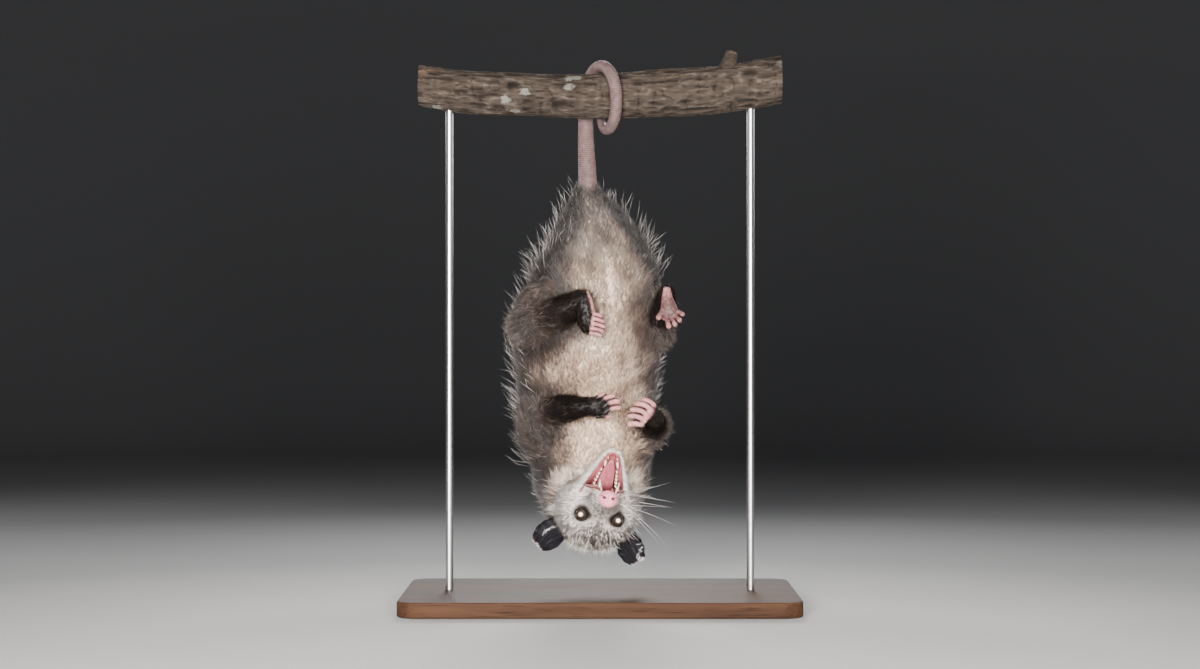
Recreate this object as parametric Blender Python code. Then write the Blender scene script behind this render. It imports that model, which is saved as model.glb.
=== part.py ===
"""A life-size opossum that hangs by its tail from a cut length of branch, on a plain display stand.

The frame has +Z up and the floor at Z = 0, with the base centred on the origin. The animal hangs head down:
its belly faces -Y and its own left side is towards -X. Lengths are in metres.
"""

import math

import bmesh
import bpy
import numpy as np

MM = 0.001
GAP = 0.3 * MM  # kept between nodes that touch
SHARP_ANGLE = math.radians(42)  # edges sharper than this stay crisp
COAT_SEED = 11

# Stand: a flat base and two rods that carry the branch by its ends
BASE_WIDTH = 410 * MM
BASE_DEPTH = 252 * MM
BASE_THICKNESS = 16 * MM
BASE_CORNER = 22 * MM
ROD_RADIUS = 4 * MM
ROD_SPREAD = 158 * MM  # from the middle to each rod
ROD_SOCKET_DEPTH = 12 * MM

# Branch: 48 mm thick, sagging in the middle, a little higher and thicker on the right
BRANCH_RADIUS = 24 * MM
BRANCH_HALF_LENGTH = 190 * MM
BRANCH_HEIGHT = 534.5 * MM  # axis at the middle
BRANCH_SAG = 13 * MM
BRANCH_TILT = 3 * MM
BRANCH_TAPER = 2.5 * MM  # thicker towards the right
BARK_LUMP = 1.6 * MM
STUB_PLACE = 128 * MM
STUB_RADIUS = 8 * MM
STUB_LENGTH = 17 * MM

# Tail: (share of the way round the branch in turns, place along the branch, slack off the bark)
TAIL_BASE = np.array((-12.8, 33.0, 438.0)) * MM
TAIL_BEHIND = np.array((-16.0, 33.6, 512.0)) * MM
TAIL_TURNS = (
    (0.00, -16.0 * MM, 0.6 * MM),
    (0.12, -11.0 * MM, 0.6 * MM),
    (0.25, 0.0 * MM, 0.6 * MM),
    (0.37, 10.5 * MM, 0.6 * MM),
    (0.50, 17.0 * MM, 0.6 * MM),
    (0.62, 16.0 * MM, 3.0 * MM),
    (0.72, 9.5 * MM, 6.5 * MM),
    (0.82, 2.5 * MM, 4.5 * MM),
    (0.92, -1.5 * MM, 1.2 * MM),
)
TAIL_ROOM = tuple(  # turns round the branch, room kept for the tail's own radius
    (turns, room * MM) for turns, room in ((0, 8.2), (0.25, 6.6), (0.5, 6.8), (0.92, 4.6))
)
TAIL_THICKNESS = (  # share of the tail's length, radius
    (0.00, 10.6 * MM),
    (0.22, 8.4 * MM),
    (0.42, 6.4 * MM),
    (0.52, 6.4 * MM),
    (0.70, 6.7 * MM),
    (0.88, 5.6 * MM),
    (0.97, 4.0 * MM),
    (1.00, 1.9 * MM),
)
TAIL_NODES = (  # node, share of the length where it ends
    ("tail_base", 0.24),
    ("tail_riser", 0.42),
    ("tail_crest", 0.60),
    ("tail_front", 0.80),
    ("tail_tip", 1.00),
)

# Torso: height, middle x, middle y, half width, depth to the belly, depth to the back (core of the coat)
BELLY_TURN = math.radians(10)  # the belly is turned this much towards +X
TORSO_TOP = 438 * MM
TORSO_FOOT = 138 * MM
TORSO = tuple(
    tuple(value * MM for value in row)
    for row in (
        (138, -10, 5, 60, 42, 53),
        (160, -10, 2, 67, 44, 58),
        (195, -11, -1, 70, 49, 62),
        (232, -12, -2, 74, 57, 64),
        (268, -11, 0, 78, 65, 64),
        (305, -8, 4, 77, 64, 60),
        (340, -5, 9, 68, 56, 52),
        (376, -4, 16, 53, 44, 40),
        (410, -7, 25, 32, 27, 24),
        (428, -11, 31, 18, 16, 15),
        (438, -12.8, 33, 12, 12, 12),
    )
)
TORSO_FULLNESS = 2.25  # exponent of the outline: 2 is an ellipse, more is fuller

# Neck: share of its length, middle x, y, z, turn of the section from the torso's to the head's (degrees),
# half width, depth to the throat, depth to the nape
NECK = (
    (0.00, -10, 5, 138, 0, 60, 46, 53),
    (0.35, -9, 3, 122, 16, 57, 44, 49),
    (0.70, -7, -4, 108, 38, 50, 40, 44),
    (1.00, -5, -12, 100, 62, 40, 34, 36),
)

# Head: faces the viewer, turned, raised and rolled a little
EYES_MIDDLE = np.array((-0.6, -66.0, 97.6)) * MM
HEAD_TURN = math.radians(7)  # towards +X
HEAD_RAISE = math.radians(4)
HEAD_ROLL = math.radians(9.5)
EYE_FORWARD = 38 * MM
EYE_RISE = 8 * MM
EYE_SPREAD = 18.8 * MM
EYE_RADIUS = 6.3 * MM
LID_THICKNESS = 1.5 * MM
# Head: place along the muzzle, half width, top, bottom (to the lip line ahead of the mouth's corner)
HEAD = tuple(
    tuple(value * MM for value in row)
    for row in (
        (-38, 9, 13, -11),
        (-33, 24, 27, -25),
        (-18, 40, 39, -36),
        (-2, 45.5, 43, -39),
        (12, 46, 38.5, -38),
        (25, 36, 27.5, -31),
        (36, 24.5, 18, -22.5),
        (48, 19.5, 10, -21),
        (60, 17, 4.5, -20.5),
        (72, 14.5, 0.5, -20),
        (80, 11.5, -2.5, -19.2),
        (84.5, 8, -5.5, -17),
    )
)
MOUTH_CORNER = 30 * MM  # along the muzzle
LIP_LINE = -20 * MM  # height of the mouth's corner
PALATE_RISE = 7 * MM
NOSE_PLACE = (84.5 * MM, -10.2 * MM)
NOSE_HALF = (7.2 * MM, 9.4 * MM, 7.9 * MM)  # forward, sideways, up
NOSTRIL_SPREAD = 5.3 * MM
NOSTRIL_RADIUS = 1.7 * MM

# Lower jaw: dropped from the upper one. Place from the mouth's corner, half width, depth
JAW_DROP = math.radians(42)
JAW = tuple(
    tuple(value * MM for value in row)
    for row in (
        (-16, 25, 21),
        (0, 20.8, 17),
        (14, 17.6, 14.5),
        (28, 14.0, 12.5),
        (40, 10.8, 10.5),
        (48, 8.2, 8.5),
        (53, 5.6, 6.5),
        (56, 2.2, 4.0),
    )
)
TONGUE = tuple(  # place from the mouth's corner, half width, thickness
    tuple(value * MM for value in row)
    for row in (
        (-8, 7, 4.2),
        (4, 8.4, 5.6),
        (20, 7.4, 5.2),
        (34, 5.4, 4.2),
        (43, 2.6, 2.6),
        (45.5, 0.9, 1.6),
    )
)
LOWER_TEETH = (  # place from the mouth's corner, height, radius
    (10, 3.4, 2.0),
    (15.5, 3.8, 2.2),
    (21, 3.8, 2.1),
    (26.5, 4.0, 1.8),
    (32.5, 3.6, 1.6),
    (43.5, 8.5, 2.0),
    (49.5, 3.0, 1.1),
)
UPPER_TEETH = (  # place along the muzzle, height, radius
    (42, 3.4, 2.0),
    (48, 4.0, 2.2),
    (54, 4.2, 2.1),
    (62, 5.0, 1.8),
    (67, 4.2, 1.6),
    (74.5, 10.5, 2.1),
    (79.5, 3.4, 1.1),
)

# Ears: naked, cupped, standing out from the sides of the crown
EAR_LENGTH = 38 * MM
EAR_WIDTH = 32 * MM
EAR_THICKNESS = 1.3 * MM
EAR_CUP = 8.5 * MM
EAR_BASE = (-4 * MM, 31 * MM, 18 * MM)  # along the muzzle, sideways, up
EAR_SPLAY = math.radians(36)

# Limbs: joints (x, y, z) and the radius at each, coat included
LIMBS = {
    "thigh_left": (((-36, 4, 334), 30), ((-54, -22, 313), 31), ((-68, -40, 297), 25)),
    "shin_left": (((-67, -42, 296), 23), ((-44, -60, 305), 20), ((-20, -73, 319), 12)),
    "thigh_right": (((34, 6, 332), 26), ((52, -6, 310), 24), ((59, -20, 291), 16)),
    "shin_right": (((58.5, -21, 291), 14.5), ((64, -38, 305), 13), ((68.5, -51, 326), 9)),
    "upper_arm_left": (((-48, -12, 166), 24), ((-62, -30, 181), 22), ((-68, -48, 199), 16)),
    "forearm_left": (((-67, -49, 200), 15.5), ((-40, -66, 208), 14.5), ((-13, -75, 211), 9.6)),
    "upper_arm_right": (((30, -2, 172), 23), ((44, -18, 181), 20), ((53, -34, 189), 14.5)),
    "forearm_right": (((53, -35, 189), 14), ((56, -54, 190), 12), ((57.5, -69, 195), 9.6)),
}

# Paws: rows of (x, y, z), half width and half thickness down the palm or sole, the side it is wide to,
# the digits as (root), (way), length and radius, and what the way gains by a digit's tip
PAWS = {
    "hand_left": {
        "pad": (
            ((-16, -75, 211), 7.5, 6.5),
            ((-7, -77, 211), 9.4, 7),
            ((0, -78, 210.5), 10, 5.8),
            ((4.5, -78.5, 209.5), 8, 3.8),
        ),
        "wide": (0.1, 0.0, 1.0),
        "digits": (
            ((-5.2, -79, 217.6), (0.38, -0.10, 0.92), 13.5, 2.8),
            ((0.6, -80, 215.6), (0.48, -0.12, 0.87), 16.5, 2.9),
            ((4.6, -80.5, 211.6), (0.60, -0.12, 0.79), 17.5, 3.0),
            ((6.2, -80, 206.2), (0.66, -0.10, 0.74), 16.5, 2.9),
            ((-1.0, -78, 201.4), (0.93, -0.05, 0.36), 12.5, 2.6),
        ),
        "curl": (0.75, 0.35, -0.95),
        "parent": "forearm_left",
    },
    "hand_right": {
        "pad": (
            ((60, -69, 195), 7.2, 6.5),
            ((55, -75, 199), 9.4, 7),
            ((50, -80, 203), 9.8, 6),
            ((46.5, -82, 206), 7.8, 3.8),
        ),
        "wide": (0.66, 0.1, 0.75),
        "digits": (
            ((55.0, -79, 211.6), (-0.42, -0.08, 0.90), 15.5, 3.2),
            ((50.8, -83, 208.6), (-0.55, -0.12, 0.83), 18.0, 3.0),
            ((47.4, -84, 203.2), (-0.58, -0.14, 0.80), 18.5, 3.0),
            ((44.0, -84, 197.8), (-0.60, -0.12, 0.79), 18.0, 3.0),
            ((42.5, -82, 192.6), (-0.84, -0.08, 0.54), 15.5, 2.9),
        ),
        "curl": (-0.70, 0.35, -1.10),
        "parent": "forearm_right",
    },
    "foot_left": {
        "pad": (
            ((-17, -74, 327), 6, 6),
            ((-16, -77, 318), 8.6, 7),
            ((-14.5, -78, 307), 9.6, 6.5),
            ((-13, -78, 296), 9, 5.5),
            ((-11.5, -78, 288), 5.6, 3.4),
        ),
        "wide": (1.0, 0.0, 0.15),
        "digits": (
            ((-9.4, -80, 305.6), (0.97, -0.06, 0.10), 13.0, 2.2),
            ((-8.8, -80.5, 300.6), (0.97, -0.06, 0.10), 15.0, 2.3),
            ((-8.6, -80.5, 295.4), (0.98, -0.06, 0.14), 15.5, 2.3),
            ((-8.4, -80, 290.4), (0.98, -0.04, 0.16), 14.5, 2.2),
            ((-9.0, -78.5, 285.8), (0.98, 0.0, 0.16), 12.5, 2.1),
        ),
        "curl": (-0.10, 0.60, -0.75),
        "parent": "shin_left",
    },
    "foot_right": {
        "pad": (
            ((68.5, -53, 331), 4.5, 4.5),
            ((69, -57, 322), 6.0, 5.5),
            ((70.5, -60, 311), 9, 5.6),
            ((71.5, -61, 305), 10, 5),
            ((72.5, -61, 300), 8, 3.2),
        ),
        "wide": (1.0, 0.0, 0.0),
        "digits": (
            ((64.2, -62, 308.2), (-0.52, -0.22, -0.82), 11.5, 2.9),
            ((68.6, -63, 301.2), (0.20, -0.22, -0.95), 12.5, 2.7),
            ((73.6, -63, 300.8), (0.42, -0.24, -0.87), 10.5, 2.6),
            ((77.2, -63, 303.4), (0.66, -0.24, -0.71), 9.5, 2.5),
            ((79.2, -62, 308.0), (0.84, -0.22, -0.49), 9.0, 2.4),
        ),
        "curl": (0.0, -0.5, 0.0),
        "parent": "shin_right",
    },
}
CLAW_LENGTH = 3.6 * MM

# Guard hair of the back, sides and rump: flat tapered locks that lie towards the tail and stand off it
LOCK_ROWS = 10
LOCK_SPACING = 21.5 * MM
LOCK_LENGTH = 40 * MM
LOCK_WIDTH = 17 * MM
LOCK_THICKNESS = 3.0 * MM
LOCK_SUNK = 5 * MM
LOCK_ANGLES = (math.radians(56), math.radians(34), math.radians(14))  # to the body, from root to tip
LOCK_BELLY_SHARE = 0.175  # of the way round, on either side of the belly's middle, that has no locks
LOCK_LOWEST = 157 * MM
LOCK_HIGHEST = 419 * MM
LOCK_CLEARANCE = 2 * MM  # kept from the limbs, the tail and the other nodes
NECK_LOCK_ROWS = (0.30, 0.62)  # shares of the neck's length
NECK_LOCK_LENGTH = 27 * MM

COLOURS = {
    "fur_grey": ((0.28, 0.25, 0.23), 0.9, 0.0),
    "fur_dark": ((0.05, 0.04, 0.035), 0.9, 0.0),
    "fur_white": ((0.78, 0.74, 0.70), 0.9, 0.0),
    "skin_pink": ((0.75, 0.48, 0.46), 0.6, 0.0),
    "mouth_pink": ((0.62, 0.26, 0.28), 0.4, 0.0),
    "ear_black": ((0.05, 0.045, 0.055), 0.5, 0.0),
    "eye_black": ((0.012, 0.010, 0.010), 0.08, 0.0),
    "bark": ((0.12, 0.09, 0.07), 0.95, 0.0),
    "stand_wood": ((0.10, 0.055, 0.035), 0.45, 0.0),
    "stand_steel": ((0.55, 0.55, 0.56), 0.3, 1.0),
}


def unit(vector):
    """The vector at length 1."""
    vector = np.asarray(vector, float)
    return vector / np.linalg.norm(vector)


def smooth(rows, at):
    """A curve without overshoot through rows of (place, value, ...), read at one place."""
    rows = np.array(rows, float)
    places, values = rows[:, 0], rows[:, 1:]
    steps = np.diff(places)
    slopes = np.diff(values, axis=0) / steps[:, None]
    bends = np.vstack((slopes[:1], np.zeros((len(rows) - 2, values.shape[1])), slopes[-1:]))
    before, after = slopes[:-1], slopes[1:]
    same_way = before * after > 0
    bends[1:-1][same_way] = (2 * before * after)[same_way] / (before + after)[same_way]
    i = int(np.clip(np.searchsorted(places, at) - 1, 0, len(rows) - 2))
    t = (np.clip(at, places[0], places[-1]) - places[i]) / steps[i]
    return (
        (1 + 2 * t) * (1 - t) ** 2 * values[i]
        + t * (1 - t) ** 2 * steps[i] * bends[i]
        + t * t * (3 - 2 * t) * values[i + 1]
        + t * t * (t - 1) * steps[i] * bends[i + 1]
    )


def material(slot):
    """The finish of one slot of COLOURS."""
    found = bpy.data.materials.get(slot)
    if found:
        return found
    colour, roughness, metallic = COLOURS[slot]
    made = bpy.data.materials.new(slot)
    made.use_nodes = True
    shader = made.node_tree.nodes["Principled BSDF"]
    shader.inputs["Base Color"].default_value = (*colour, 1)
    shader.inputs["Roughness"].default_value = roughness
    shader.inputs["Metallic"].default_value = metallic
    return made


def solid(name, points, faces, slot="fur_grey"):
    """A closed mesh object with its faces turned outwards."""
    mesh = bpy.data.meshes.new(name)
    mesh.from_pydata([tuple(point) for point in points], [], faces)
    work = bmesh.new()
    work.from_mesh(mesh)
    bmesh.ops.recalc_face_normals(work, faces=work.faces)
    if work.calc_volume(signed=True) < 0:
        bmesh.ops.reverse_faces(work, faces=work.faces)
    work.to_mesh(mesh)
    work.free()
    mesh.materials.append(material(slot))
    made = bpy.data.objects.new(name, mesh)
    bpy.context.scene.collection.objects.link(made)
    return made


def loft(name, rings, slot="fur_grey", tip=None):
    """A closed solid through rings, its ends filled from their middles, or the last from a tip."""
    rings = np.asarray(rings, float)
    count, sides = rings.shape[:2]
    points = list(rings.reshape(-1, 3)) + [rings[0].mean(0), rings[-1].mean(0) if tip is None else tip]
    first, last = count * sides, count * sides + 1
    faces = []
    for k in range(sides):
        after = (k + 1) % sides
        faces.append((first, k, after))
        faces.append((last, (count - 1) * sides + after, (count - 1) * sides + k))
        for j in range(count - 1):
            a, b = j * sides, (j + 1) * sides
            faces.append((a + k, b + k, b + after))
            faces.append((a + k, b + after, a + after))
    return solid(name, points, faces, slot)


def oval(middle, across, up, half, above, below, sides, fullness=2.0):
    """A ring round middle: half wide along across, above and below deep along up, the first point above."""
    turn = 2 * math.pi * np.arange(sides) / sides
    rise, side = np.cos(turn), np.sin(turn)
    power = 2 / fullness
    rise, side = np.sign(rise) * np.abs(rise) ** power, np.sign(side) * np.abs(side) ** power
    deep = np.where(rise > 0, above, below)
    return middle + np.outer(side * half, across) + np.outer(rise * deep, up)


def along(points, sides, radii, grow=0.0, ways=None):
    """Round rings along a line of points."""
    points = np.asarray(points, float)
    ways = np.gradient(points, axis=0) if ways is None else ways
    across = unit(np.cross(ways[0], (0.31, 0.2, 1.0)))
    rings = []
    for point, way, radius in zip(points, ways, radii):
        way = unit(way)
        across = unit(across - way * np.dot(across, way))
        reach = radius + grow
        rings.append(oval(point, across, np.cross(way, across), reach, reach, reach, sides))
    return rings


def applied(obj):
    """Replaces the object's mesh by what its modifiers make of it."""
    graph = bpy.context.evaluated_depsgraph_get()
    mesh = bpy.data.meshes.new_from_object(obj.evaluated_get(graph))
    obj.modifiers.clear()
    obj.data = mesh


def largest_surface(obj):
    """Keeps only the largest closed surface of the mesh."""
    work = bmesh.new()
    work.from_mesh(obj.data)
    left, shells = set(work.faces), []
    while left:
        shell, edge = set(), [left.pop()]
        while edge:
            face = edge.pop()
            shell.add(face)
            near = {other for line in face.edges for other in line.link_faces} & left
            left -= near
            edge.extend(near)
        shells.append(shell)
    shells.sort(key=lambda shell: sum(face.calc_area() for face in shell))
    spare = [face for shell in shells[:-1] for face in shell]
    bmesh.ops.delete(work, geom=spare, context="FACES")
    bmesh.ops.triangulate(work, faces=work.faces)
    work.to_mesh(obj.data)
    work.free()


def fuse(obj, pieces):
    """Joins closed pieces to the object as one closed body."""
    group = bpy.data.collections.new("pieces")
    bpy.context.scene.collection.children.link(group)
    for piece in pieces:
        bpy.context.scene.collection.objects.unlink(piece)
        group.objects.link(piece)
    union = obj.modifiers.new("union", "BOOLEAN")
    union.operation = "UNION"
    union.operand_type = "COLLECTION"
    union.collection = group
    union.solver = "MANIFOLD"
    applied(obj)
    for piece in pieces:
        bpy.data.objects.remove(piece)
    bpy.data.collections.remove(group)
    largest_surface(obj)
    return obj


def cut(obj, *cutters):
    """Takes each cutter out of the object, and removes the cutter."""
    for cutter in cutters:
        taken = obj.modifiers.new("cut", "BOOLEAN")
        taken.operation = "DIFFERENCE"
        taken.object = cutter
        taken.solver = "MANIFOLD"
        applied(obj)
        bpy.data.objects.remove(cutter)
    largest_surface(obj)
    return obj


def ball(name, middle, ways, halves, columns, rows, slot):
    """An ellipsoid with its half sizes along three ways."""
    ways = np.array([unit(way) for way in ways])
    rings = []
    for row in range(1, rows):
        lift = math.pi * row / rows
        turn = 2 * math.pi * np.arange(columns) / columns
        local = np.stack(
            (
                np.full(columns, math.cos(lift)) * halves[0],
                np.cos(turn) * math.sin(lift) * halves[1],
                np.sin(turn) * math.sin(lift) * halves[2],
            ),
            axis=1,
        )
        rings.append(middle + local @ ways)
    made = loft(name, rings, slot)
    poles = (middle + ways[0] * halves[0], middle - ways[0] * halves[0])
    for vertex, pole in zip(made.data.vertices[-2:], poles):
        vertex.co = pole
    return made


def spike(root, way, length, radius, sides=5, slot="fur_white"):
    """A cone with a little belly, sunk at its root, for a tooth or a claw."""
    way = unit(way)
    points = [root - way * 0.3 * length, root + way * 0.5 * length]
    return loft("spike", along(points, sides, (radius, 0.68 * radius)), slot, tip=root + way * length)


# Torso


def belly_ways():
    """The animal's belly and left directions on the hanging torso."""
    belly = np.array((math.sin(BELLY_TURN), -math.cos(BELLY_TURN), 0.0))
    left = np.array((-math.cos(BELLY_TURN), -math.sin(BELLY_TURN), 0.0))
    return belly, left


def torso_ring(height, sides, grow=0.0):
    """The torso's outline at one height, the first point in the middle of the belly."""
    x, y, half, front, back = smooth(TORSO, height)
    belly, left = belly_ways()
    middle = np.array((x, y, height))
    return oval(middle, left, belly, half + grow, front + grow, back + grow, sides, TORSO_FULLNESS)


def torso_shell(name, grow=0.0):
    """The torso without its locks."""
    heights = np.linspace(TORSO_FOOT, TORSO_TOP, 15)
    rings = [torso_ring(height, 26, grow) for height in heights]
    rings[0][:, 2] -= grow
    rings[-1][:, 2] += grow
    return loft(name, rings)


def on_ring(ring, share):
    """The point at a share of the way round a ring, measured along it."""
    closed = np.vstack((ring, ring[:1]))
    along_it = np.concatenate(([0], np.cumsum(np.linalg.norm(np.diff(closed, axis=0), axis=1))))
    place = (share % 1.0) * along_it[-1]
    return np.array([np.interp(place, along_it, closed[:, axis]) for axis in range(3)])


def lock(root, out, lie, length, width, thickness):
    """The rings and the tip of a flat tapered lock that rises off the body and bends over along the lie."""
    across = unit(np.cross(lie, out))
    first = LOCK_ANGLES[0]
    points = [root - (math.sin(first) * out + math.cos(first) * lie) * LOCK_SUNK, root]
    for angle in LOCK_ANGLES:
        step = math.sin(angle) * out + math.cos(angle) * lie
        points.append(points[-1] + step * length / len(LOCK_ANGLES))
    rings = []
    for k, share in ((0, 0.75), (2, 1.0), (3, 0.62)):
        angle = LOCK_ANGLES[max(k - 2, 0)]
        up = math.cos(angle) * out - math.sin(angle) * lie
        half, thick = width * share / 2, thickness * share / 2
        ring = [points[k] + across * half, points[k] + up * thick]
        ring += [points[k] - across * half, points[k] - up * thick]
        rings.append(ring)
    return np.array(rings), points[-1]


def limb_balls():
    """Points and radii down the middle of every limb and paw, to keep the locks clear of them."""
    points, radii = [], []
    for key, joints in LIMBS.items():
        rows = [(i, *joint, radius) for i, (joint, radius) in enumerate(joints)]
        for at in np.linspace(0, len(rows) - 1, 11):
            *point, radius = smooth(rows, at)
            points.append(point)
            radii.append(radius)
    for paw in PAWS.values():
        for point, half, _ in paw["pad"]:
            points.append(point)
            radii.append(half)
    return np.array(points) * MM, np.array(radii) * MM


def grow_locks(obj, ring_at, rows, shares, spacing, length, balls, rng):
    """Fuses rows of locks to a body, ring_at giving its outline at a row, shares its part with a coat."""
    points, radii = balls
    pieces = []
    for i, row in enumerate(rows):
        ring = ring_at(row)
        above = ring_at(row + (rows[1] - rows[0]) * 0.2)
        girth = np.linalg.norm(np.diff(ring, axis=0), axis=1).sum() * (shares[1] - shares[0])
        count = max(3, int(round(girth / spacing)))
        for j in range(count + i % 2):
            share = shares[0] + (shares[1] - shares[0]) * (j + 0.5 - 0.5 * (i % 2)) / count
            share += rng.uniform(-0.12, 0.12) / count * (shares[1] - shares[0])
            root = on_ring(ring, share)
            side = unit(on_ring(ring, share + 0.02) - on_ring(ring, share - 0.02))
            lie = unit(on_ring(above, share) - root)
            out = unit(np.cross(side, lie))
            out = out if np.dot(out, root - ring.mean(0)) > 0 else -out
            root = root + lie * rng.uniform(-0.12, 0.12) * spacing
            lie = unit(lie + side * rng.uniform(-0.16, 0.16))
            out = unit(out - lie * np.dot(out, lie))
            scale = rng.uniform(0.85, 1.15)
            width = LOCK_WIDTH * rng.uniform(0.85, 1.1)
            rings, tip = lock(root, out, lie, length * scale, width, LOCK_THICKNESS)
            ends = np.concatenate((rings[1:], np.broadcast_to(tip, (1, 4, 3))))
            checked = np.concatenate([rings * (1 - t) + ends * t for t in (0.4, 0.7, 1.0)]).reshape(-1, 3)
            room = np.linalg.norm(checked[:, None] - points[None], axis=2) - radii[None]
            if room.min() > LOCK_CLEARANCE:
                pieces.append(loft("lock", rings, tip=tip))
    return fuse(obj, pieces)


def make_torso():
    """The torso with the locks of its sides, back and rump."""
    rng = np.random.default_rng(COAT_SEED)
    torso = cut(torso_shell("torso"), head_shell("cutter", GAP))
    rows = np.linspace(LOCK_LOWEST, LOCK_HIGHEST, LOCK_ROWS)
    shares = (LOCK_BELLY_SHARE, 1 - LOCK_BELLY_SHARE)
    points, radii = limb_balls()
    line, lengths = tail_line()
    points = np.vstack((points, line[lengths < 60 * MM]))
    radii = np.concatenate((radii, np.full(len(points) - len(radii), TAIL_THICKNESS[0][1])))

    def ring_at(height):
        return torso_ring(min(height, TORSO_TOP), 64)

    return grow_locks(torso, ring_at, rows, shares, LOCK_SPACING, LOCK_LENGTH, (points, radii), rng)


# Neck and head


def neck_ring(share, sides, grow=0.0):
    """The neck's outline at a share of its length, the first point in the middle of the throat."""
    _, left = belly_ways()
    x, y, z, turn, half, front, back = smooth(NECK, share)
    turn = math.radians(turn)
    throat = np.array((0, -math.cos(turn), math.sin(turn)))
    middle = np.array((x, y, z)) * MM
    sizes = np.array((half, front, back)) * MM + grow
    return oval(middle, left, throat, *sizes, sides, TORSO_FULLNESS)


def neck_shell(name, grow=0.0):
    """The neck without its locks, bent from the torso's foot to the back of the head."""
    rings = [neck_ring(share, 26, grow) for share in np.linspace(0, 1, 6)]
    rings[0] = rings[0] - np.array((0, 0, GAP))
    return loft(name, rings)


def make_neck():
    """The neck with the locks of its sides and nape, which reach over the torso's foot."""
    rng = np.random.default_rng(COAT_SEED + 1)
    neck = cut(neck_shell("neck"), head_shell("cutter", GAP), jaw_shell("cutter", GAP))
    rows = NECK_LOCK_ROWS[::-1]
    shares = (LOCK_BELLY_SHARE + 0.04, 0.96 - LOCK_BELLY_SHARE)

    def ring_at(share):
        return neck_ring(max(share, 0.0), 64)

    grow_locks(neck, ring_at, rows, shares, LOCK_SPACING, NECK_LOCK_LENGTH, limb_balls(), rng)
    return cut(neck, torso_shell("cutter", GAP), head_shell("cutter", GAP))


def head_ways():
    """The head's forward, left and up directions, and its middle between the ears."""
    turn, lift, roll = HEAD_TURN, HEAD_RAISE, HEAD_ROLL
    ahead = np.array((math.sin(turn) * math.cos(lift), -math.cos(turn) * math.cos(lift), math.sin(lift)))
    left = np.array((-math.cos(roll), 0, math.sin(roll)))
    left = unit(left - ahead * np.dot(left, ahead))
    up = np.cross(ahead, left)
    middle = EYES_MIDDLE - ahead * EYE_FORWARD - up * EYE_RISE
    return ahead, left, up, middle


AHEAD, LEFT, UP, HEAD_MIDDLE = head_ways()
JAW_WAY = math.cos(JAW_DROP) * AHEAD - math.sin(JAW_DROP) * UP
JAW_OUT = math.sin(JAW_DROP) * AHEAD + math.cos(JAW_DROP) * UP
HEAD_SIDES = 24
MOUTH_SIDE = (0.9, 0.76, 0.58, 0.32, 0.0)  # share of the half width, from the lip to the middle
MOUTH_LIFT = (0.35, 0.0, 0.2, 0.85, 1.0)  # share of the palate's rise


def on_head(ahead, side, up):
    """A point given along the muzzle, to the animal's left and up."""
    return HEAD_MIDDLE + AHEAD * ahead + LEFT * side + UP * up


def on_jaw(place, side, out):
    """A point on the lower jaw, given from the mouth's corner, to the left and out of the gum."""
    return on_head(MOUTH_CORNER, 0, LIP_LINE) + JAW_WAY * place + LEFT * side + JAW_OUT * out


def head_ring(place, grow=0.0):
    """The head's outline at one place along the muzzle: ahead of the corner its underside is the mouth."""
    half, top, bottom = smooth(HEAD, place)
    mid = 0.5 * (top + bottom)
    middle = on_head(place, 0, mid)
    ring = oval(middle, LEFT, UP, half + grow, top - mid + grow, mid - bottom + grow, HEAD_SIDES, 2.15)
    open_share = np.clip((place - MOUTH_CORNER) / (7 * MM), 0, 1)
    below = HEAD_SIDES // 2
    for j, (side, lift) in enumerate(zip(MOUTH_SIDE, MOUTH_LIFT)):
        for sign in (-1, 1):
            k = below + sign * (4 - j)
            lip = on_head(place, -sign * side * (half + grow), bottom - grow + lift * PALATE_RISE)
            ring[k] = ring[k] * (1 - open_share) + lip * open_share
    return ring


def head_shell(name, grow=0.0):
    """The head with its upper jaw, without lids and teeth."""
    first, last = HEAD[0][0], HEAD[-1][0]
    places = [*np.linspace(first, MOUTH_CORNER, 8), *np.linspace(MOUTH_CORNER + 6 * MM, last, 7)]
    rings = [head_ring(place, grow) for place in places]
    rings[0] = rings[0] - AHEAD * grow
    rings[-1] = rings[-1] + AHEAD * grow
    return loft(name, rings, "fur_white")


def jaw_ring(place, grow=0.0):
    """The lower jaw's section: the chin's outline, then lip, gum and trough across its open top."""
    half, deep = smooth(JAW, place)
    outline = (
        (1.0, 0.0),
        (1.1, -0.35),
        (0.88, -0.75),
        (0.48, -0.97),
        (0.0, -1.0),
        (-0.48, -0.97),
        (-0.88, -0.75),
        (-1.1, -0.35),
        (-1.0, 0.0),
    )
    ring = [on_jaw(place, side * (half + grow), out * (deep + grow)) for side, out in outline]
    share = half / JAW[1][1]
    gum, trough = (1.6 * MM * share + grow, -6.2 * MM * share + grow)
    inner = (
        (-0.86, -0.4 * MM + grow),
        (-0.72, gum),
        (-0.50, 0.6 * trough),
        (-0.2, trough),
        (0.2, trough),
        (0.50, 0.6 * trough),
        (0.72, gum),
        (0.86, -0.4 * MM + grow),
    )
    return ring + [on_jaw(place, side * half, out) for side, out in inner]


def jaw_shell(name, grow=0.0):
    """The lower jaw without its teeth."""
    first, last = JAW[0][0], JAW[-1][0]
    places = [*np.linspace(first, 42 * MM, 9), 47 * MM, 51 * MM, 54 * MM, last]
    rings = [jaw_ring(place, grow) for place in places]
    rings[0] = np.array(rings[0]) - JAW_WAY * grow
    rings[-1] = np.array(rings[-1]) + JAW_WAY * grow
    return loft(name, rings, "fur_white")


def eye_middle(side):
    """The centre of one eye, side being 1 on the left and -1 on the right."""
    return on_head(EYE_FORWARD, side * EYE_SPREAD, EYE_RISE)


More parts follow.
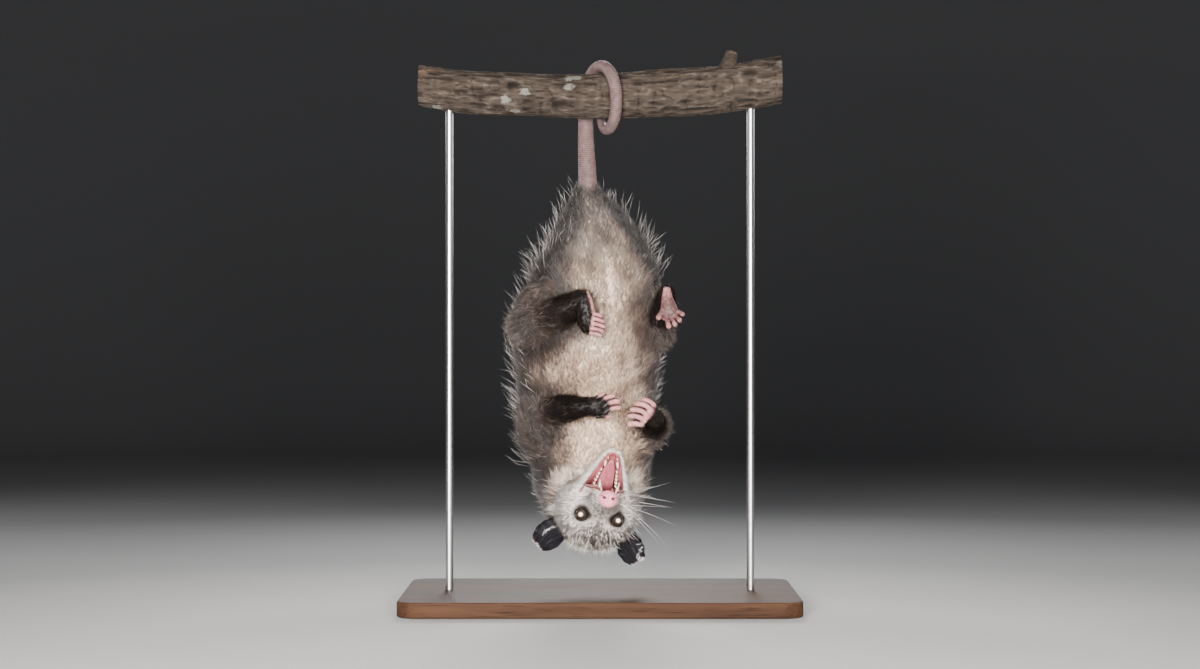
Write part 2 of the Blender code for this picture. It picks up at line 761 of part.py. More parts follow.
def eye_way(side):
    """The way that one eye looks."""
    return unit(0.80 * AHEAD + side * 0.50 * LEFT + 0.33 * UP)


def eye_ball(name, side, grow=0.0):
    """One eye."""
    way = eye_way(side)
    across = unit(np.cross(way, UP))
    sizes = (EYE_RADIUS + grow,) * 3
    return ball(name, eye_middle(side), (way, across, np.cross(way, across)), sizes, 12, 7, "eye_black")


def lid_ring(side):
    """The rim of the lids round one eye."""
    way = eye_way(side)
    across = unit(np.cross(way, UP))
    up = np.cross(across, way)
    rings = []
    steps = 12
    for k in range(steps):
        turn = 2 * math.pi * k / steps
        out = math.cos(turn) * across * 1.06 + math.sin(turn) * up * 0.94
        middle = eye_middle(side) + way * 2.2 * MM + out * (EYE_RADIUS + 0.2 * MM)
        rings.append(
            [
                middle + unit(out) * LID_THICKNESS * math.cos(a) * 1.5 + way * LID_THICKNESS * math.sin(a)
                for a in np.linspace(0, 2 * math.pi, 6)[:-1]
            ]
        )
    points = np.array(rings).reshape(-1, 3)
    faces = []
    for k in range(steps):
        for j in range(5):
            a, b = k * 5 + j, k * 5 + (j + 1) % 5
            c, d = (k + 1) % steps * 5 + (j + 1) % 5, (k + 1) % steps * 5 + j
            faces += [(a, b, c), (a, c, d)]
    return solid("lid", points, faces)


def nose_pad(name, grow=0.0):
    """The naked nose, two rounded halves."""
    place, rise = NOSE_PLACE
    ahead, side, up = (half + grow for half in NOSE_HALF)
    return ball(name, on_head(place, 0, rise), (AHEAD, LEFT, UP), (ahead, side, up), 14, 8, "skin_pink")


def make_nose():
    """The nose with its nostrils."""
    nose = nose_pad("nose")
    pits = []
    for sign in (-1, 1):
        ahead = NOSE_PLACE[0] + NOSE_HALF[0] * 0.92
        middle = on_head(ahead, sign * NOSTRIL_SPREAD, NOSE_PLACE[1] - 0.6 * MM)
        halves = (2.6 * MM, NOSTRIL_RADIUS, NOSTRIL_RADIUS * 0.8)
        pits.append(ball("pit", middle, (AHEAD, LEFT, UP), halves, 8, 5, "skin_pink"))
    return cut(nose, *pits)


def make_head():
    """The head: lids, lips and upper teeth, with sockets for the eyes and a seat for the nose."""
    head = head_shell("head")
    pieces = [lid_ring(side) for side in (-1, 1)]
    for place, height, radius in UPPER_TEETH:
        half, _, bottom = smooth(HEAD, place * MM)
        for sign in (-1, 1):
            root = on_head(place * MM, sign * 0.62 * half, bottom + 1.2 * MM)
            lean = -UP + 0.12 * sign * LEFT + 0.1 * AHEAD
            pieces.append(spike(root, lean, (height + 1.2) * MM, radius * MM))
    fuse(head, pieces)
    sockets = [eye_ball("socket", side, GAP) for side in (-1, 1)]
    return cut(head, *sockets, nose_pad("seat", GAP))


def make_lower_jaw():
    """The dropped lower jaw with its teeth."""
    jaw = jaw_shell("lower_jaw")
    pieces = []
    for place, height, radius in LOWER_TEETH:
        half, _ = smooth(JAW, place * MM)
        for sign in (-1, 1):
            root = on_jaw(place * MM, sign * 0.70 * half, 0.8 * MM)
            pieces.append(spike(root, JAW_OUT + 0.1 * sign * LEFT, (height + 0.8) * MM, radius * MM))
    return cut(fuse(jaw, pieces), head_shell("cutter", GAP))


def make_tongue():
    """The tongue, lying in the trough of the lower jaw."""
    rings = []
    for place in np.linspace(TONGUE[0][0], TONGUE[-1][0], 9):
        half, thick = smooth(TONGUE, place)
        middle = on_jaw(place, 0, 0.2 * MM)
        rings.append(oval(middle, LEFT, JAW_OUT, half, 0.5 * thick, 0.6 * thick, 12, 2.3))
    tongue = loft("tongue", rings, "mouth_pink")
    return cut(tongue, jaw_shell("cutter", GAP), head_shell("cutter", GAP))


def make_ear(name, side):
    """One ear: a cupped leaf of even thickness, rooted in the side of the crown."""
    base = on_head(EAR_BASE[0], side * EAR_BASE[1], EAR_BASE[2])
    way = unit(math.cos(EAR_SPLAY) * UP + side * math.sin(EAR_SPLAY) * LEFT - 0.22 * AHEAD)
    front = unit(0.86 * AHEAD + side * 0.42 * LEFT)
    front = unit(front - way * np.dot(front, way))
    across = np.cross(way, front)
    columns, rows = 9, 8
    sheet, outs = np.zeros((rows, columns, 3)), np.zeros((rows, columns, 3))
    for i, share in enumerate(np.linspace(0, 1, rows)):
        half = 0.5 * EAR_WIDTH * (0.55 + 0.45 * math.sin(math.pi * share / 1.2))
        half *= math.sqrt(1 - (0.94 * share) ** 5)
        for j, spread in enumerate(np.linspace(-1, 1, columns)):
            hollow = EAR_CUP * (1 - spread * spread) * (1 - 0.55 * share)
            bow = 5 * MM * share * share
            sheet[i, j] = base + way * EAR_LENGTH * share + across * half * spread - front * (hollow - bow)
            outs[i, j] = unit(front + across * (-0.9 * spread * (1 - 0.4 * share)))
    inner = (sheet + outs * EAR_THICKNESS / 2).reshape(-1, 3)
    outer = (sheet - outs * EAR_THICKNESS / 2).reshape(-1, 3)
    count = rows * columns
    faces = []
    for i in range(rows - 1):
        for j in range(columns - 1):
            a, b = i * columns + j, i * columns + j + 1
            c, d = b + columns, a + columns
            faces += [(a, b, c), (a, c, d)]
            faces += [(count + a, count + c, count + b), (count + a, count + d, count + c)]
    edge = [(0, j) for j in range(columns)] + [(i, columns - 1) for i in range(1, rows)]
    edge += [(rows - 1, j) for j in range(columns - 2, -1, -1)] + [(i, 0) for i in range(rows - 2, 0, -1)]
    for (i, j), (m, n) in zip(edge, edge[1:] + edge[:1]):
        a, b = i * columns + j, m * columns + n
        faces += [(a, count + b, b), (a, count + a, count + b)]
    ear = solid(name, np.vstack((inner, outer)), faces, "ear_black")
    return cut(ear, head_shell("cutter", GAP))


# Limbs


def limb_shell(name, key, grow=0.0):
    """One length of a limb, rounded at both ends."""
    rows = [(i, *np.array(joint) * MM, radius * MM) for i, (joint, radius) in enumerate(LIMBS[key])]
    line = [smooth(rows, at) for at in np.linspace(0, len(rows) - 1, 6)]
    points = [row[:3] for row in line]
    radii = [row[3] for row in line]
    start, end = unit(points[0] - points[1]), unit(points[-1] - points[-2])
    dome = ((0.5, 0.85), (0.85, 0.45))
    before = [(points[0] + start * radii[0] * lift, radii[0] * share) for lift, share in reversed(dome)]
    after = [(points[-1] + end * radii[-1] * lift, radii[-1] * share) for lift, share in dome]
    line = before + list(zip(points, radii)) + after
    rings = along([point for point, _ in line], 12, [radius for _, radius in line], grow=grow)
    slot = "fur_grey" if key.startswith(("thigh", "upper")) else "fur_dark"
    return loft(name, rings, slot)


def make_limb(key, parent=None):
    """One length of a limb, cut clear of the torso and of the length that it hangs on."""
    cutters = [torso_shell("cutter", GAP), neck_shell("cutter", GAP)]
    if parent:
        cutters.append(limb_shell("cutter", parent, GAP))
    return cut(limb_shell(key, key), *cutters)


def digit(root, way, length, radius, curl):
    """A finger or toe that bends towards curl and ends in a pad and a claw."""
    points = [root - unit(way) * 4 * MM]
    for share, step in ((0.0, 4 * MM), (0.28, 0.46 * length), (0.78, 0.46 * length)):
        points.append(points[-1] + unit(unit(way) + np.array(curl) * share) * step)
    radii = [radius * share for share in (0.9, 1.0, 1.0, 0.8)]
    end = unit(points[-1] - points[-2])
    finger = loft("digit", along(points, 5, radii), "skin_pink", tip=points[-1] + end * 0.08 * length)
    claw = spike(points[-1] - end * MM, end + 0.5 * np.array(curl), CLAW_LENGTH, 0.9 * MM, 4)
    return [finger, claw]


def make_paw(key):
    """A hand or foot: the pad, its digits and their claws as one body."""
    paw = PAWS[key]
    middles = [np.array(row[0]) * MM for row in paw["pad"]]
    wide = [row[1] * MM for row in paw["pad"]]
    thick = [row[2] * MM for row in paw["pad"]]
    ways = np.gradient(np.array(middles), axis=0)
    rings = []
    for middle, way, half, deep in zip(middles, ways, wide, thick):
        way = unit(way)
        across = unit(np.array(paw["wide"]) - way * np.dot(paw["wide"], way))
        rings.append(oval(middle, across, np.cross(way, across), half, deep, deep, 12, 2.2))
    made = loft(key, rings, "skin_pink")
    pieces = []
    for root, way, length, radius in paw["digits"]:
        pieces += digit(np.array(root) * MM, unit(way), length * MM, radius * MM, paw["curl"])
    fuse(made, pieces)
    return cut(made, limb_shell("cutter", paw["parent"], GAP), torso_shell("cutter", GAP))


# Tail, branch and stand


def branch_middle(x):
    """The height of the branch's axis at x."""
    share = x / BRANCH_HALF_LENGTH
    return BRANCH_HEIGHT + BRANCH_SAG * share * share + BRANCH_TILT * share


def tail_line():
    """Points and radii down the whole tail: up behind the branch, over it, down its front and under."""
    middle = np.array(TAIL_TURNS)
    points = [smooth(((0, *TAIL_BASE), (1, *TAIL_BEHIND)), share) for share in np.linspace(0, 1, 7)[:-1]]
    for turns in np.linspace(0, TAIL_TURNS[-1][0], 34):
        x, slack = smooth(middle, turns)
        radius = smooth(TAIL_ROOM, turns)[0]
        reach = BRANCH_RADIUS + radius + slack + 0.6 * MM
        turn = 2 * math.pi * turns
        points.append(np.array((x, reach * math.cos(turn), branch_middle(x) + reach * math.sin(turn))))
    points = np.array(points)
    for _ in range(3):
        points[1:-1] = 0.25 * points[:-2] + 0.5 * points[1:-1] + 0.25 * points[2:]
    lengths = np.concatenate(([0], np.cumsum(np.linalg.norm(np.diff(points, axis=0), axis=1))))
    return points, lengths


def make_tail():
    """The naked tail in five lengths that meet face to face."""
    points, lengths = tail_line()
    whole = lengths[-1]
    rows = np.column_stack((lengths, points))

    def way(place):
        return smooth(rows, min(place + MM, whole)) - smooth(rows, max(place - MM, 0.0))

    start = -GAP / 2
    for name, share in TAIL_NODES:
        end = share * whole
        places = np.linspace(start + GAP / 2, end - GAP / 2 if share < 1 else end, 9)
        line = [smooth(rows, place) for place in places]
        ways = [way(place) for place in places]
        ways[0], ways[-1] = way(places[0] - GAP / 2), way(places[-1] + GAP / 2)
        radii = [smooth(TAIL_THICKNESS, place / whole)[0] for place in places]
        rings = np.array(along(line, 12, radii, ways=ways))
        if start < 0:
            rings[0][:, 2] = TORSO_TOP + GAP
        loft(name, rings, "skin_pink")
        start = end


def branch_shell(name, grow=0.0):
    """The branch, lumpy away from the tail, with a broken side twig."""
    rings = []
    for x in np.linspace(-BRANCH_HALF_LENGTH, BRANCH_HALF_LENGTH, 13):
        turn = 2 * math.pi * np.arange(18) / 18
        calm = 1 - math.exp(-((x / (45 * MM)) ** 2))
        waves = np.sin(3 * turn + x / (21 * MM)) * 0.6 + np.sin(2 * turn - x / (34 * MM)) * 0.5
        reach = BRANCH_RADIUS + BRANCH_TAPER * x / BRANCH_HALF_LENGTH + BARK_LUMP * calm * waves + grow
        y, z = reach * np.cos(turn), branch_middle(x) + reach * np.sin(turn)
        rings.append(np.stack((np.full(18, x), y, z), axis=1))
    return loft(name, rings, "bark")


def make_branch():
    """The cut length of branch with sockets for the two rods."""
    branch = branch_shell("perch")
    root = np.array((STUB_PLACE, 0, branch_middle(STUB_PLACE)))
    way = unit((0.25, -0.35, 0.9))
    reach = BRANCH_RADIUS + STUB_LENGTH
    line = [root, root + way * 0.7 * reach, root + way * reach]
    stub = loft("stub", along(line, 9, (11 * MM, 8.5 * MM, STUB_RADIUS * 0.75)), "bark")
    fuse(branch, [stub])
    sockets = []
    for sign in (-1, 1):
        x = sign * ROD_SPREAD
        foot = branch_middle(x) - BRANCH_RADIUS
        line = [(x, 0, foot - 10 * MM), (x, 0, foot + ROD_SOCKET_DEPTH + GAP)]
        sockets.append(loft("socket", along(line, 16, (ROD_RADIUS + GAP,) * 2), "bark"))
    return cut(branch, *sockets)


def make_stand():
    """The flat base, with rounded corners and a bevelled top edge, and the two rods."""
    work = bmesh.new()
    bmesh.ops.create_cube(work, size=1.0)
    bmesh.ops.scale(work, vec=(BASE_WIDTH, BASE_DEPTH, BASE_THICKNESS), verts=work.verts)
    bmesh.ops.translate(work, vec=(0, 0, BASE_THICKNESS / 2), verts=work.verts)
    upright = [edge for edge in work.edges if abs(edge.verts[0].co.z - edge.verts[1].co.z) > 1e-6]
    bmesh.ops.bevel(work, geom=upright, offset=BASE_CORNER, segments=5, profile=0.5, affect="EDGES")
    top = [edge for edge in work.edges if all(vertex.co.z > 0.9 * BASE_THICKNESS for vertex in edge.verts)]
    bmesh.ops.bevel(work, geom=top, offset=2 * MM, segments=1, affect="EDGES")
    bmesh.ops.triangulate(work, faces=work.faces)
    mesh = bpy.data.meshes.new("stand_base")
    work.to_mesh(mesh)
    work.free()
    mesh.materials.append(material("stand_wood"))
    base = bpy.data.objects.new("stand_base", mesh)
    bpy.context.scene.collection.objects.link(base)
    for sign, name in ((-1, "stand_rod_left"), (1, "stand_rod_right")):
        x = sign * ROD_SPREAD
        top = branch_middle(x) - BRANCH_RADIUS + ROD_SOCKET_DEPTH
        line = [(x, 0, BASE_THICKNESS + GAP), (x, 0, top)]
        loft(name, along(line, 16, (ROD_RADIUS,) * 2), "stand_steel")


def main():
    """Builds every node."""
    for obj in list(bpy.data.objects):
        bpy.data.objects.remove(obj)
    make_stand()
    make_branch()
    make_tail()
    make_torso()
    make_neck()
    make_head()
    make_nose()
    make_lower_jaw()
    make_tongue()
    for side, word in ((1, "left"), (-1, "right")):
        eye_ball("eye_" + word, side)
        make_ear("ear_" + word, side)
        for upper, lower, paw in (("thigh_", "shin_", "foot_"), ("upper_arm_", "forearm_", "hand_")):
            make_limb(upper + word)
            make_limb(lower + word, upper + word)
            make_paw(paw + word)
    for obj in bpy.data.objects:
        obj.data.shade_smooth()
        obj.data.set_sharp_from_angle(angle=SHARP_ANGLE)


main()
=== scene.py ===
"""A life-size opossum that hangs by its tail from a cut branch on a plain stand, dressed with skin and coat.

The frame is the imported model's: +Z up, the belly towards -Y, the animal's own left side towards -X, metres.
Every soft form is a loft: a centre line carried through stations, each with its own half width and depths.
The skin, the roots of the coat and the markings are all worked out from the same surfaces.
"""

import functools
import logging
import math
from dataclasses import dataclass
from enum import Enum
from typing import Callable, Iterator, Optional, Sequence

import bpy
import numpy as np
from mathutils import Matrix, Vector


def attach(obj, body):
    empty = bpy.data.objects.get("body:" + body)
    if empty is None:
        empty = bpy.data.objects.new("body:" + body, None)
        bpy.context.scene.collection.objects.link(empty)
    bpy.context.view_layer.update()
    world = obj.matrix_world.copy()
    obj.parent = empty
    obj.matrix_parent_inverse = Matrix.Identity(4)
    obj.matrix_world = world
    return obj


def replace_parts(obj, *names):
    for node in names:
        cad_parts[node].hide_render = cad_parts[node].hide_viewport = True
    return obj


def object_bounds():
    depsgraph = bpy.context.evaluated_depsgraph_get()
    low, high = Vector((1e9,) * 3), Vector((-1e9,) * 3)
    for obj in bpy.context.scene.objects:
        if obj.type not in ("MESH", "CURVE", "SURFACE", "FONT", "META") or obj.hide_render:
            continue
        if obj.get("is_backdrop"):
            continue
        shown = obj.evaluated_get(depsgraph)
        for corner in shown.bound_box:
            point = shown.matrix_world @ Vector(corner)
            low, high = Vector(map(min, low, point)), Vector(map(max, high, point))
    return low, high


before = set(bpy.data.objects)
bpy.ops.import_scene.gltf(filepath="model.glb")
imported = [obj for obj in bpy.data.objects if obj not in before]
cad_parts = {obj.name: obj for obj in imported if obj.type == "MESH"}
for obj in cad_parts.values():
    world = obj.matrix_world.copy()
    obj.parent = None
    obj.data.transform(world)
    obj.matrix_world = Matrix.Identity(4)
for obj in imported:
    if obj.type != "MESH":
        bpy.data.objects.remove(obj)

LOG = logging.getLogger("opossum")
MM = 0.001
SEED = 23
Array = np.ndarray
Surface = tuple[Array, Array]  # points, and faces of four corners, the last one -1 for a triangle
Material, Socket, Thing = bpy.types.Material, bpy.types.NodeSocket, bpy.types.Object
CAD_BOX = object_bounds()


class Slot(Enum):
    """The record's material slots."""

    FUR_GREY = "fur_grey"
    FUR_DARK = "fur_dark"
    FUR_WHITE = "fur_white"
    SKIN = "skin_pink"
    MOUTH = "mouth_pink"
    EAR = "ear_black"
    EYE = "eye_black"
    BARK = "bark"
    WOOD = "stand_wood"


class Layer(Enum):
    """The layers of the coat."""

    SHORT = "short"
    DENSE = "dense"
    GUARD = "guard"


# Numbers and arrays


def norm(vectors: Array) -> Array:
    """The vectors' lengths, along the last axis."""
    return np.linalg.norm(vectors, axis=-1)


def unit(vectors: Array) -> Array:
    """The vectors at length 1, along the last axis."""
    vectors = np.asarray(vectors, float)
    return vectors / np.maximum(norm(vectors)[..., None], 1e-12)


def smoothstep(low: float, high: float, value: Array) -> Array:
    """0 below low, 1 above high, and 3t^2 - 2t^3 between them."""
    t = np.clip((value - low) / (high - low), 0, 1)
    return t * t * (3 - 2 * t)


def hill(value: Array, width: float = 1.0) -> Array:
    """A round hill, exp(-(value / width)^2)."""
    return np.exp(-((value / width) ** 2))


def distances(points: Array) -> Array:
    """How far each point is from the first, along the line through them."""
    return np.concatenate(([0], np.cumsum(norm(np.diff(points, axis=0)))))


def through(rows: Sequence[Sequence[float]], at: Array) -> Array:
    """A cubic curve without overshoot through rows of (place, values ...).

    Between two rows it is the Hermite cubic whose slopes are the harmonic means of the chords' slopes.

    Args:
        rows: the places, in rising order, each with its values.
        at: the places to read.

    Returns:
        An array of at's shape with the values on a last axis.
    """
    table = np.asarray(rows, float)
    places, values = table[:, 0], table[:, 1:]
    at = np.clip(np.asarray(at, float), places[0], places[-1])
    steps = np.diff(places)[:, None]
    chords = np.diff(values, axis=0) / steps
    slopes = np.vstack((chords[:1], np.zeros((len(places) - 2, values.shape[1])), chords[-1:]))
    before, after = chords[:-1], chords[1:]
    agree = before * after > 0
    slopes[1:-1][agree] = (2 * before * after)[agree] / (before + after)[agree]
    i = np.clip(np.searchsorted(places, at) - 1, 0, len(places) - 2)
    step = steps[i]
    t = ((at - places[i]) / step[..., 0])[..., None]
    ends = (1 + 2 * t) * (1 - t) ** 2 * values[i] + t * (1 - t) ** 2 * step * slopes[i]
    return ends + t * t * (3 - 2 * t) * values[i + 1] + t * t * (t - 1) * step * slopes[i + 1]


def columns_of(rows: Sequence[Sequence[float]], at: Array) -> Array:
    """The same curve with the values on the first axis, to take apart."""
    return np.moveaxis(through(rows, at), -1, 0)


def noise(points: Array, size: float, seed: int = 0) -> Array:
    """Smooth noise from -1 to 1: random numbers on a lattice of that size, blended between its corners.

    Args:
        points: places, in metres.
        size: the lattice's spacing, in metres.
        seed: which noise it is.

    Returns:
        One number for each point.
    """
    scaled = np.asarray(points, float) / size + 57.3 * (seed + 1)
    cell = np.floor(scaled).astype(np.int64)
    t = scaled - cell
    t = t * t * (3 - 2 * t)
    total = np.zeros(scaled.shape[:-1])
    for corner in range(8):
        step = np.array((corner & 1, corner >> 1 & 1, corner >> 2 & 1))
        at = cell + step
        mixed = at[..., 0] * 73856093 ^ at[..., 1] * 19349663 ^ at[..., 2] * 83492791 ^ (seed + 1) * 2654435
        mixed = (mixed ^ (mixed >> 13)) * 1274126177 & 0x7FFFFFFF
        mixed = (mixed ^ (mixed >> 16)) & 0xFFFF
        weight = np.prod(np.where(step == 1, t, 1 - t), axis=-1)
        total += weight * (mixed / 32767.5 - 1)
    return total


def link(name: str, data: bpy.types.ID) -> Thing:
    """A new object of the scene."""
    obj = bpy.data.objects.new(name, data)
    bpy.context.scene.collection.objects.link(obj)
    return obj


def make_object(
    name: str,
    surface: Surface,
    material: Material,
    slot: Slot,
    attributes: Optional[dict[str, Array]] = None,
    smooth: bool = True,
) -> Thing:
    """A mesh object on the frame, at the origin.

    Args:
        name: the piece's name.
        surface: its points and faces.
        material: its finish.
        slot: the record's slot that the piece would belong to; not used.
        attributes: numbers on the points, by name.
        smooth: whether it is shaded smooth.

    Returns:
        The object, riding on the frame's one body.
    """
    mesh = fill_mesh(name, surface, smooth)
    for key, values in (attributes or {}).items():
        made = mesh.attributes.new(key, "FLOAT", "POINT")
        made.data.foreach_set("value", np.asarray(values, np.float32).ravel())
    mesh.materials.append(material)
    mesh.update()
    obj = link(name, mesh)
    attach(obj, "root")
    LOG.info("%s: %d points, %d faces", name, len(mesh.vertices), len(mesh.polygons))
    return obj


def fill_mesh(name: str, surface: Surface, smooth: bool = True) -> bpy.types.Mesh:
    """A mesh of that name with a surface's points and faces.

    Args:
        name: the mesh's name.
        surface: points and faces.
        smooth: whether it is shaded smooth.

    Returns:
        The mesh.
    """
    points, faces = surface
    kept = faces >= 0
    totals = kept.sum(axis=1)
    loops = faces[kept]
    mesh = bpy.data.meshes.new(name)
    mesh.vertices.add(len(points))
    mesh.vertices.foreach_set("co", np.asarray(points, np.float32).ravel())
    mesh.loops.add(len(loops))
    mesh.loops.foreach_set("vertex_index", loops.astype(np.int32))
    mesh.polygons.add(len(totals))
    mesh.polygons.foreach_set("loop_start", (np.cumsum(totals) - totals).astype(np.int32))
    mesh.update(calc_edges=True)
    mesh.polygons.foreach_set("use_smooth", np.full(len(totals), smooth))
    return mesh


def grid_faces(rows: int, columns: int, closed: bool) -> Array:
    """The quads of a grid of points, row after row; closed joins the last column to the first."""
    i, j = np.meshgrid(np.arange(rows - 1), np.arange(columns if closed else columns - 1), indexing="ij")
    after = (j + 1) % columns
    here, above = i * columns, (i + 1) * columns
    return np.stack((here + j, here + after, above + after, above + j), -1).reshape(-1, 4)


def rounds(places: Array, sides: int) -> tuple[Array, Array]:
    """A grid of places along a form and of turns round it."""
    return tuple(np.meshgrid(places, 2 * np.pi * np.arange(sides) / sides, indexing="ij"))


def closed_tube(grid: Array) -> Surface:
    """A tube through rings of points, (rows, columns, 3), with both ends filled from their middles.

    Args:
        grid: the rings' points.

    Returns:
        The closed surface, its faces outward.
    """
    rows, columns = grid.shape[:2]
    points = np.vstack((grid.reshape(-1, 3), grid[0].mean(0)[None], grid[-1].mean(0)[None]))
    around = np.arange(columns)
    after = (around + 1) % columns
    blank = np.full(columns, -1)
    start = np.stack((blank + 1 + rows * columns, after, around, blank), -1)
    base = (rows - 1) * columns
    end = np.stack((blank + 2 + rows * columns, base + around, base + after, blank), -1)
    return outward(points, np.vstack((grid_faces(rows, columns, True), start, end)))


def joined(parts: Sequence[Surface]) -> Surface:
    """Several surfaces as one."""
    starts = np.cumsum([0] + [len(points) for points, _ in parts])
    faces = [np.where(part[1] >= 0, part[1] + start, -1) for part, start in zip(parts, starts)]
    return np.vstack([points for points, _ in parts]), np.vstack(faces)


def outward(points: Array, faces: Array) -> Surface:
    """The surface, its faces turned over if the volume that they enclose comes out negative."""
    a, b, c = (points[faces[:, k]] for k in range(3))
    volume = np.einsum("ij,ij->i", a, np.cross(b, c)).sum()
    quads = faces[:, 3] >= 0
    d = points[faces[quads, 3]]
    volume += np.einsum("ij,ij->i", a[quads], np.cross(c[quads], d)).sum()
    return points, faces if volume >= 0 else faces[:, (2, 1, 0, 3)]


def slab(one: Array, two: Array) -> Surface:
    """A closed slab between two grids of the same size, joined round their edges.

    Args:
        one: the face that shows.
        two: the face behind it.

    Returns:
        The closed surface, its faces outward.
    """
    rows, columns = one.shape[:2]
    count = rows * columns
    quads = grid_faces(rows, columns, False)
    index = np.arange(count).reshape(rows, columns)
    loop = np.concatenate((index[0, :-1], index[:-1, -1], index[-1, :0:-1], index[:0:-1, 0]))
    after = np.roll(loop, -1)
    rim = np.stack((after, loop, loop + count, after + count), -1)
    points = np.vstack((one.reshape(-1, 3), two.reshape(-1, 3)))
    return outward(points, np.vstack((quads, quads[:, ::-1] + count, rim)))


# Materials


class Shader:
    """A material's node tree, with short calls for the nodes that the finishes use."""

    def __init__(self, name: str) -> None:
        """Starts a plain material of that name."""
        self.material = bpy.data.materials.new(name)
        self.material.use_nodes = True
        self.tree = self.material.node_tree
        self.surface = self.tree.nodes["Principled BSDF"]

    def put(self, socket: Socket, value: object) -> None:
        """Links a socket from another node's output, or sets its value; a colour is three numbers."""
        if isinstance(value, Socket):
            self.tree.links.new(value, socket)
        else:
            socket.default_value = (*value, 1) if socket.type == "RGBA" else value

    def node(self, kind: str, **sockets: object) -> bpy.types.Node:
        """A new node.

        Args:
            kind: the node's type.
            sockets: values or outputs for its inputs, by name or as i and the input's number; with a leading
                underscore, a property of the node.

        Returns:
            The node.
        """
        made = self.tree.nodes.new("ShaderNode" + kind)
        for key, value in sorted(sockets.items(), key=lambda item: item[0][0] != "_"):
            if key[0] == "_":
                setattr(made, key[1:], value)
            else:
                self.put(made.inputs[int(key[1:]) if key[1:].isdigit() else key], value)
        return made

    def place(self) -> Socket:
        """The place on the object, in metres."""
        return self.node("TexCoord").outputs["Object"]

    def value(self, name: str) -> Socket:
        """A number kept on the mesh's points."""
        return self.node("Attribute", _attribute_name=name).outputs["Fac"]

    def stretch(self, x: float, y: float = 1.0, z: float = 1.0) -> Socket:
        """The place, scaled along each axis."""
        return self.node("Mapping", Vector=self.place(), Scale=(x, y, z)).outputs["Vector"]

    def noise(
        self, scale: float, detail: float = 3.0, rough: float = 0.55, vector: Optional[Socket] = None
    ) -> Socket:
        """Fractal noise from 0 to 1.

        Args:
            scale: waves to a metre.
            detail: how many finer waves are added.
            rough: how strong the finer ones are.
            vector: the place to read, or the object's own.

        Returns:
            The noise.
        """
        at = vector or self.place()
        return self.node("TexNoise", Vector=at, Scale=scale, Detail=detail, Roughness=rough).outputs["Fac"]

    def cells(self, scale: float, vector: Optional[Socket] = None, feature: str = "F1") -> Socket:
        """The distance to the nearest of a crowd of scattered cells, or to their edges."""
        at = vector or self.place()
        return self.node("TexVoronoi", Vector=at, Scale=scale, _feature=feature).outputs["Distance"]

    def math(self, operation: str, a: object, b: object = 0.5, c: object = 0.5) -> Socket:
        """One sum on up to three numbers."""
        return self.node("Math", _operation=operation, i0=a, i1=b, i2=c).outputs[0]

    def times(self, a: object, b: object) -> Socket:
        """The product of two numbers."""
        return self.math("MULTIPLY", a, b)

    def line(self, a: object, b: object, c: object) -> Socket:
        """a * b + c."""
        return self.math("MULTIPLY_ADD", a, b, c)

    def ramp(self, factor: Socket, *stops: tuple[float, float, float, float]) -> Socket:
        """A colour that runs through stops of (place, red, green, blue).

        Args:
            factor: where to read it, from 0 to 1.
            stops: its stops, in rising order.

        Returns:
            The colour.
        """
        made = self.node("ValToRGB", Fac=factor)
        line = made.color_ramp
        while len(line.elements) < len(stops):
            line.elements.new(0.5)
        for element, (place, *colour) in zip(line.elements, stops):
            element.position = place
            element.color = (*colour, 1)
        return made.outputs["Color"]

    def fade(self, factor: Socket, low: float, high: float, first: float = 0.0, last: float = 1.0) -> Socket:
        """A grey that runs from one brightness to another."""
        return self.ramp(factor, (low, first, first, first), (high, last, last, last))

    def mix(self, factor: object, a: object, b: object) -> Socket:
        """A blend of two colours, with factor as the share of the second."""
        return self.node("Mix", _data_type="RGBA", i0=factor, i6=a, i7=b).outputs[2]

    def bump(
        self, height: Socket, distance: float, strength: float = 1.0, under: Optional[Socket] = None
    ) -> Socket:
        """The normal of a relief.

        Args:
            height: the relief from 0 to 1.
            distance: its full height in metres.
            strength: how much of it shows.
            under: a relief that it lies on.

        Returns:
            The normal.
        """
        lower = {} if under is None else {"Normal": under}
        made = self.node("Bump", Height=height, Distance=distance, Strength=strength, **lower)
        return made.outputs["Normal"]

    def finish(
        self, colour: object, rough: object, normal: Optional[Socket] = None, **fixed: float
    ) -> Material:
        """Sets the surface and gives the material.

        Args:
            colour: its colour.
            rough: its roughness.
            normal: its relief.
            fixed: other sockets of the shader, set to one number.

        Returns:
            The material.
        """
        self.put(self.surface.inputs["Base Color"], colour)
        self.put(self.surface.inputs["Roughness"], rough)
        if normal is not None:
            self.put(self.surface.inputs["Normal"], normal)
        for key, value in fixed.items():
            self.surface.inputs[key.replace("_", " ")].default_value = value
        return self.material

    def hair(self) -> Socket:
        """The coat's colour: black to white by the points' tone, grey to cream by their warmth."""
        tone = self.value("tone")
        grey = ((0.0, 0.003, 0.0027, 0.0027), (0.3, 0.068, 0.058, 0.056), (0.6, 0.33, 0.29, 0.28))
        cream = ((0.0, 0.004, 0.0024, 0.0019), (0.3, 0.110, 0.072, 0.056), (0.6, 0.48, 0.335, 0.24))
        neutral = self.ramp(tone, *grey, (1.0, 0.97, 0.95, 0.93))
        return self.mix(self.value("warm"), neutral, self.ramp(tone, *cream, (1.0, 0.98, 0.80, 0.62)))


